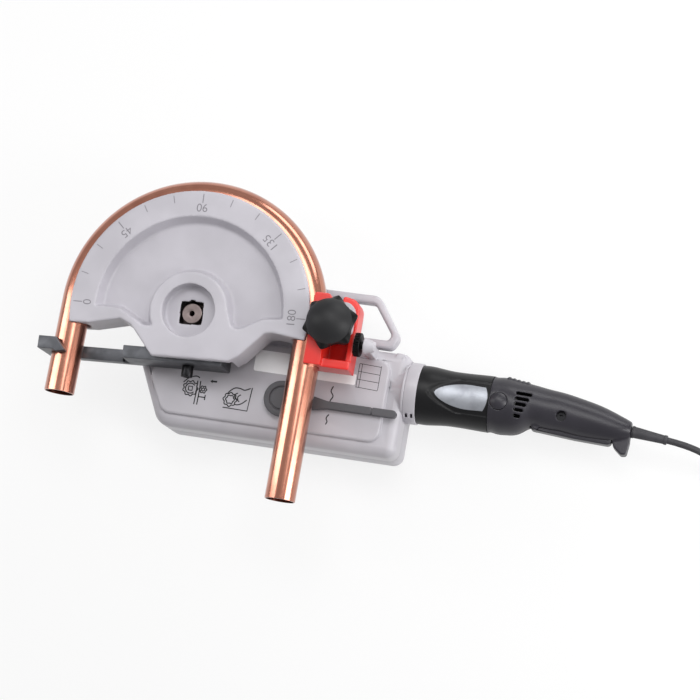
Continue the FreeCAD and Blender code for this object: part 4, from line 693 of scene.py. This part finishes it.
def arc_repeater(name):
    """Node tree that sets copies of a thin bar on an arc about the spindle, each along its radius."""
    tree = bpy.data.node_groups.new(name, "GeometryNodeTree")
    sockets = {}
    for label, kind in (("Count", "Int"), ("Radius", "Float"), ("First", "Float"), ("Step", "Float"),
                        ("Bar", "Vector"), ("Height", "Float"), ("Finish", "Material")):
        made = tree.interface.new_socket(label, in_out="INPUT", socket_type="NodeSocket" + kind)
        sockets[label] = made.identifier
    tree.interface.new_socket("Geometry", in_out="OUTPUT", socket_type="NodeSocketGeometry")
    given = tree.nodes.new("NodeGroupInput")
    result = tree.nodes.new("NodeGroupOutput")

    def node(kind, **links):
        made = tree.nodes.new(kind)
        for socket, source in links.items():
            tree.links.new(source, made.inputs[socket.replace("_", " ")])
        return made

    def maths(operation, left, right):
        made = tree.nodes.new("ShaderNodeMath")
        made.operation = operation
        tree.links.new(left, made.inputs[0])
        tree.links.new(right, made.inputs[1])
        return made.outputs[0]

    points = node("GeometryNodePoints", Count=given.outputs["Count"])
    index = tree.nodes.new("GeometryNodeInputIndex")
    angle = maths("ADD", maths("MULTIPLY", index.outputs[0], given.outputs["Step"]), given.outputs["First"])
    turn = node("ShaderNodeCombineXYZ", Z=angle)
    out = node("ShaderNodeCombineXYZ", X=given.outputs["Radius"], Z=given.outputs["Height"])
    spin = node("ShaderNodeVectorRotate", Vector=out.outputs[0], Angle=angle)
    placed = node("GeometryNodeSetPosition", Geometry=points.outputs[0], Position=spin.outputs[0])
    bar = node("GeometryNodeMeshCube", Size=given.outputs["Bar"])
    copies = node("GeometryNodeInstanceOnPoints", Points=placed.outputs[0], Instance=bar.outputs[0],
                  Rotation=turn.outputs[0])
    real = node("GeometryNodeRealizeInstances", Geometry=copies.outputs[0])
    dyed = node("GeometryNodeSetMaterial", Geometry=real.outputs[0], Material=given.outputs["Finish"])
    tree.links.new(dyed.outputs[0], result.inputs[0])
    return tree, sockets


def repeated_bars(name, body, material_slot, tree, sockets, **values):
    """A piece made by the arc repeater, turned to a plain mesh."""
    piece = new_piece(name, bpy.data.meshes.new(name), body)
    repeat = piece.modifiers.new("repeat", "NODES")
    repeat.node_group = tree
    for label, value in values.items():
        repeat[sockets[label]] = value
    return settled(piece)


scale_tree, scale_sockets = arc_repeater("scale_marks")
repeated_bars("scale_marks", "former", "former_paint", scale_tree, scale_sockets, Count=13,
              Radius=133.0 * mm, First=math.radians(former_turned), Step=math.radians(15.0),
              Bar=(9.0 * mm, 0.75 * mm, 0.24 * mm), Height=former_face, Finish=scale_shade_grey)
repeated_bars("scale_long_marks", "former", "former_paint", scale_tree, scale_sockets, Count=5,
              Radius=132.2 * mm, First=math.radians(former_turned), Step=math.radians(45.0),
              Bar=(10.4 * mm, 0.95 * mm, 0.28 * mm), Height=former_face, Finish=scale_shade_grey)
numeral_radius = 121.5 * mm
numeral_height = 13.8 * mm
numeral_film = 0.06 * mm
numeral_thinning = -0.004 * numeral_height
numerals = bmesh.new()
for value in (0, 45, 90, 135, 180):
    text = bpy.data.curves.new("numeral", "FONT")
    text.body = str(180 - value)
    text.size = numeral_height
    text.align_x = "CENTER"
    text.align_y = "CENTER"
    text.extrude = numeral_film
    text.offset = numeral_thinning
    holder = bpy.data.objects.new("numeral", text)
    scene.collection.objects.link(holder)
    bpy.context.view_layer.update()
    shape = bpy.data.meshes.new_from_object(holder.evaluated_get(bpy.context.evaluated_depsgraph_get()))
    angle = math.radians(value + former_turned)
    place = Vector((numeral_radius * math.cos(angle), numeral_radius * math.sin(angle), former_face))
    shape.transform(Matrix.Translation(place) @ Matrix.Rotation(angle + math.pi / 2, 4, "Z"))
    numerals.from_mesh(shape)
    bpy.data.objects.remove(holder)
numeral_mesh = finished_mesh(numerals, "scale_numerals")
scale_numerals = new_piece("scale_numerals", numeral_mesh, "former")
dress(scale_numerals, scale_shade_grey)


# Hook bar: milled and blackened steel, held in the former's channel by one socket screw. Its claw goes
# round the start of the tube.
hook_steel = steel("blackened_hook_steel", shade(92, 93, 97), 0.44, (7 * mm, 0.6 * mm, 0.6 * mm))
hook_piece = eased("hook_bar", "hook", "former", 0.7 * mm)
dress(hook_piece, hook_steel)
screw_piece = eased("hook_screw", "hook_socket_screw", "former", 0.4 * mm)
dress(screw_piece, black_steel)


# Back former and its clamp: a red casting that holds the tube from outside, with a black star knob on
# its stud and a black knurled screw that sets how far out it stands.
red_finish = Finish("red_enamel")
red_drift = red_finish.noise(30 * mm)
red_tones = red_finish.mix(red_drift, shade(214, 26, 18), shade(230, 44, 32))
red_finish.set({"Base Color": red_tones, "Roughness": red_drift * 0.1 + 0.26,
                "Coat Weight": 0.3, "Coat Roughness": 0.2})
back_piece = softened("back_former", "back_former_casting", "back_former", 0.75 * mm, 4)
dress(back_piece, red_finish.material)

knob_centre = Vector((168.5, 5.5)) * mm
knob_sides = 180
knob_hollow = 26.2
knob_tip = 32.6
knob_turn = math.radians(21.0)
knob_foot, knob_crown = 148.0, 172.6
knob_ball = 30.5
knob_edge = knob_crown - knob_ball + (knob_ball ** 2 - knob_hollow ** 2) ** 0.5
knob_slope = 6.0
knob_round = 1.4
knob_stem = [(143.6, 11.4), (144.0, 11.8), (147.4, 11.8)]
knob_step = 0.4
knob_heights = [knob_foot + rise for rise in (0.0, 0.3, 0.8)]
knob_heights += [knob_foot + knob_round + knob_step * i for i in range(56)]
knob_heights += [knob_crown - drop for drop in (0.7, 0.4, 0.2, 0.08)]


def knob_reach(angle, height):
    """The knob's radius in millimetres: a round dome on a body with six sloping points."""
    if height > knob_edge:
        return (knob_ball ** 2 - (height - knob_crown + knob_ball) ** 2) ** 0.5
    low = min(1.0, max(0.0, (knob_foot + knob_round - height) / knob_round))
    foot = knob_round * ((1 - low ** 2) ** 0.5 - 1)
    point = max(0.0, 1 - (math.sin(3 * (angle - knob_turn)) ** 2 + 0.006) ** 0.5)
    return knob_hollow + foot + (knob_tip - knob_hollow) * point * min(1.0, (knob_edge - height) / knob_slope)


def knob_ring(height, radius=None):
    """Points round the knob's axis at a height, at the given radius or at the knob's own reach."""
    ring = []
    for i in range(knob_sides):
        a = 2 * math.pi * i / knob_sides
        out = (radius or knob_reach(a, height)) * mm
        ring.append((knob_centre.x + out * math.cos(a), knob_centre.y + out * math.sin(a), height * mm))
    return ring


knob_skin = [knob_ring(height, radius) for height, radius in knob_stem]
knob_skin += [knob_ring(height) for height in knob_heights]
knob_mesh = finished_mesh(skinned(knob_skin, False), "knob", 60)
knob_piece = new_piece("knob", knob_mesh, "star_knob")
# The star body is near black and darker than the domed cap: black plastic, with painted shade on its sloping
# points. The adjusting screw takes the same near black.
knob_black_and_shade = moulded("knob_black_and_painted_shade", shade(5, 5, 6), 0.4, 0.5 * mm, 0.16)
dress(knob_piece, knob_black_and_shade)
knob_cap = moulded("knob_cap_plastic", shade(27, 27, 29), 0.5, 0.5 * mm, 0.3)
inlay(knob_piece, knob_cap, lambda middle: middle.z > knob_edge * mm)
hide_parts("star_knob")

# The adjusting screw's hidden end is set back, to clear its bore's rounded edge when it is screwed in.
adjuster_end = 209.0 * mm
adjuster_back = 1.2 * mm
adjuster_piece = eased("adjusting_screw", "adjuster", "adjusting_screw", 0.3 * mm, 2)
for vert in adjuster_piece.data.vertices:
    if vert.co.x > adjuster_end:
        vert.co.x -= adjuster_back
dress(adjuster_piece, knob_black_and_shade)


# Tube: half-hard copper, 35 mm across, drawn through a die that leaves fine lines along it. It is bent
# to a half circle, with a longer leg on the motor's side.
tube_outer, tube_inner = 17.5, 16.2
tube_chamfer = 0.35
tube_level = 118.0
tube_sides = 72
bend_radius = 140.0
bend_steps = 96
long_leg, long_steps = 197.0, 12
short_leg, short_steps = 112.0, 8


def tube_path():
    """The tube's middle line and its way, from the long leg's end to the short leg's end."""
    line = [((bend_radius, -long_leg + long_leg * i / long_steps), (0, 1)) for i in range(long_steps)]
    for i in range(bend_steps + 1):
        a = math.pi * i / bend_steps
        line.append(((bend_radius * math.cos(a), bend_radius * math.sin(a)), (-math.sin(a), math.cos(a))))
    line += [((-bend_radius, -short_leg * i / short_steps), (0, -1)) for i in range(1, short_steps + 1)]
    return line


def tube_ring(place, way, radius):
    """Points round the tube where its middle line passes place and heads way."""
    ring = []
    for i in range(tube_sides):
        a = 2 * math.pi * i / tube_sides
        out = radius * math.cos(a)
        height = tube_level + radius * math.sin(a)
        ring.append(Vector((place[0] + way[1] * out, place[1] - way[0] * out, height)) * mm)
    return ring


path = tube_path()
(long_end, long_way), (short_end, short_way) = path[0], path[-1]
stations = [(long_end, long_way, tube_outer - tube_chamfer),
            ((long_end[0], long_end[1] + tube_chamfer), long_way, tube_outer)]
stations += [(place, way, tube_outer) for place, way in path[1:-1]]
stations += [((short_end[0], short_end[1] + tube_chamfer), short_way, tube_outer),
             (short_end, short_way, tube_outer - tube_chamfer)]
stations += [(place, way, tube_inner) for place, way in reversed(path)]
tube_skin = [tube_ring(place, way, radius) for place, way, radius in stations]
tube_mesh = finished_mesh(skinned(tube_skin, True), "bent_tube", 40)
tube_piece = new_piece("bent_tube", tube_mesh, "tube")
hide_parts("copper_tube")
copper = Finish("drawn_copper")
spot = copper.add("ShaderNodeSeparateXYZ", None, {"Vector": copper.place()})
beyond = spot.out("Y").at_least(0.0)
from_axis = (spot.out("X") * spot.out("X") + beyond * beyond).root()
across_tube = copper.add("ShaderNodeCombineXYZ", None, {"X": from_axis, "Y": spot.out("Z")})
draw_pitch = 0.9 * mm
draw_lines = copper.add("ShaderNodeTexNoise", None,
                        {"Vector": across_tube, "Scale": 1 / draw_pitch, "Detail": 4.0})
tarnish = copper.noise(26 * mm, 4.0)
warm = copper.mix(tarnish.rise(0.3, 0.75), shade(202, 138, 114), shade(180, 114, 92))
lined = copper.mix(draw_lines.rise(0.35, 0.7) * 0.5, warm, shade(158, 94, 74))
copper.set({"Base Color": lined, "Metallic": 1.0, "Roughness": draw_lines * 0.1 + tarnish * 0.06 + 0.11,
            "Coat Weight": 0.8, "Coat Roughness": 0.14, "Normal": copper.bump(draw_lines, 0.05 * mm, 0.5)})
dress(tube_piece, copper.material)


# Feet and the spindle's seal: soft black rubber. The feet are discs glued under the rear casting, and
# the seal keeps the grease in where the spindle comes out.
def rubber(name, colour, rough):
    """Matt rubber with a fine grain and a little dust in patches."""
    finish = Finish(name)
    grain = finish.noise(0.35 * mm, 3.0)
    dust = finish.noise(18 * mm)
    tones = finish.mix(dust.rise(0.35, 0.8), colour, toned(colour, 1.5, 0.004))
    return finish.set({"Base Color": tones, "Roughness": grain * 0.14 + (rough - 0.07),
                       "Normal": finish.bump(grain, 0.03 * mm, 0.5)})


foot_rubber = rubber("foot_rubber", shade(34, 33, 35), 0.7)
for node in ("rubber_feet", "spindle_seal"):
    dress(node, foot_rubber)


# Mains cord: rubber, two cores, 7.6 mm thick. It leaves the handle, comes down to the floor and runs
# into a coil of two layers, which holds the length that is put away, and ends in a plug.
cord_diameter = 7.6 * mm
relief_turn = math.radians(6.0)
relief_length = 40.0 * mm
handle_end = Vector((510.0, -53.0, 50.0)) * mm
relief_way = Vector((math.cos(relief_turn), -math.sin(relief_turn), 0))
relief_start = handle_end + Vector((1.3 * mm, 0, 0))
cord_exit = relief_start + relief_way * relief_length
floor_level = cord_diameter / 2
free_points = [(572, -59.5, 50), (597, -66, 41), (618, -77, 26), (637, -90, 10.5), (655, -96.8, 5.2),
               (674, -99, 3.8)]
tail_points = [(747, -94.6, 9.5), (766, -92, 13), (784, -92, 13)]
coil_start = Vector((700.0, -99.0)) * mm
coil_outer = 61.0 * mm
coil_pitch = 8.3 * mm
coil_rise = 8.2 * mm
coil_turns = 4
coil_points_each_turn = 20
coil_shrink = coil_pitch / (2 * math.pi)
lead = math.atan(coil_shrink / coil_outer)
coil_centre = coil_start + Vector((math.sin(lead), -math.cos(lead))) * coil_outer
layer_turn = 2 * math.pi * coil_turns
coil_inner = coil_outer - coil_pitch * coil_turns


def coil_point(wound):
    """The cord's place after winding by an angle: in along the floor, up a layer, and out again."""
    past = wound - layer_turn
    quarter = math.pi / 2
    if past < -quarter:
        radius = coil_outer - coil_shrink * wound
        z = floor_level
    elif past > quarter:
        radius = coil_inner + coil_pitch / 4 + coil_shrink * (past - quarter)
        z = floor_level + coil_rise
    else:
        radius = coil_inner + coil_shrink * (past * past / math.pi + math.pi / 4)
        z = floor_level + coil_rise * (0.5 + 0.5 * math.sin(past))
    a = wound - lead
    return Vector((coil_centre.x + radius * math.sin(a), coil_centre.y + radius * math.cos(a), z))


first_turn = coil_point(0)
last_turn = coil_point(2 * layer_turn)
way_out = Vector((math.cos(lead), math.sin(lead), 0))
cord_path = [cord_exit] + [Vector(p) * mm for p in free_points]
cord_path.append(first_turn - Vector((math.cos(lead), -math.sin(lead), 0)) * cord_diameter)
coil_steps = 2 * coil_turns * coil_points_each_turn
cord_path += [coil_point(2 * layer_turn * i / coil_steps) for i in range(coil_steps + 1)]
straight_out = 20 * mm
cord_path += [last_turn + way_out * cord_diameter, last_turn + way_out * (cord_diameter + straight_out)]
cord_path += [Vector(p) * mm for p in tail_points]
cord_curve = bpy.data.curves.new("mains_cord", "CURVE")
cord_curve.dimensions = "3D"
cord_curve.bevel_depth = cord_diameter / 2
cord_curve.bevel_resolution = 5
cord_curve.resolution_u = 4
cord_spline = cord_curve.splines.new("NURBS")
cord_spline.points.add(len(cord_path) - 1)
for point, place in zip(cord_spline.points, cord_path):
    point.co = (*place, 1)
cord_spline.order_u = 3
cord_spline.use_endpoint_u = True
mains_cord = new_piece("mains_cord", cord_curve, "housing")
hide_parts("cord_free", "cord_coil", "cord_tail")


# Strain relief and plug: a soft tapered sleeve, with a lip at its mouth, that keeps the cord from
# kinking at the handle, and a moulded plug with two round pins. Both are of the cord's rubber.
sleeve_sides = 40
sleeve_side = relief_way.cross(Vector((0, 0, 1)))
sleeve_top = sleeve_side.cross(relief_way)
sleeve_profile = [(-9.0, 4.4), (-0.9, 4.4), (-0.8, 6.6), (-0.4, 7.0), (1.8, 7.0), (2.4, 6.5), (10, 6.2),
                  (20, 5.7), (30, 5.25), (36, 5.0), (36.4, 5.3), (37, 5.5), (39, 5.5), (39.7, 5.2), (40, 4.6),
                  (40, 3.9)]


def sleeve_ring(distance, radius):
    """Points round the sleeve's axis, at a distance along it from the handle's end."""
    centre = relief_start + relief_way * distance
    ring = []
    for i in range(sleeve_sides):
        a = 2 * math.pi * i / sleeve_sides
        ring.append(centre + (sleeve_side * math.cos(a) + sleeve_top * math.sin(a)) * radius)
    return ring


sleeve_skin = [sleeve_ring(distance * mm, radius * mm) for distance, radius in sleeve_profile]
sleeve_mesh = finished_mesh(skinned(sleeve_skin, False), "strain_sleeve")
strain_sleeve = new_piece("strain_sleeve", sleeve_mesh, "housing")
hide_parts("strain_relief")
plug = eased("mains_plug", "plug", "housing", 0.6 * mm)
cord_rubber = rubber("cord_rubber", shade(42, 41, 45), 0.62)
for piece in (mains_cord, strain_sleeve, plug):
    dress(piece, cord_rubber)
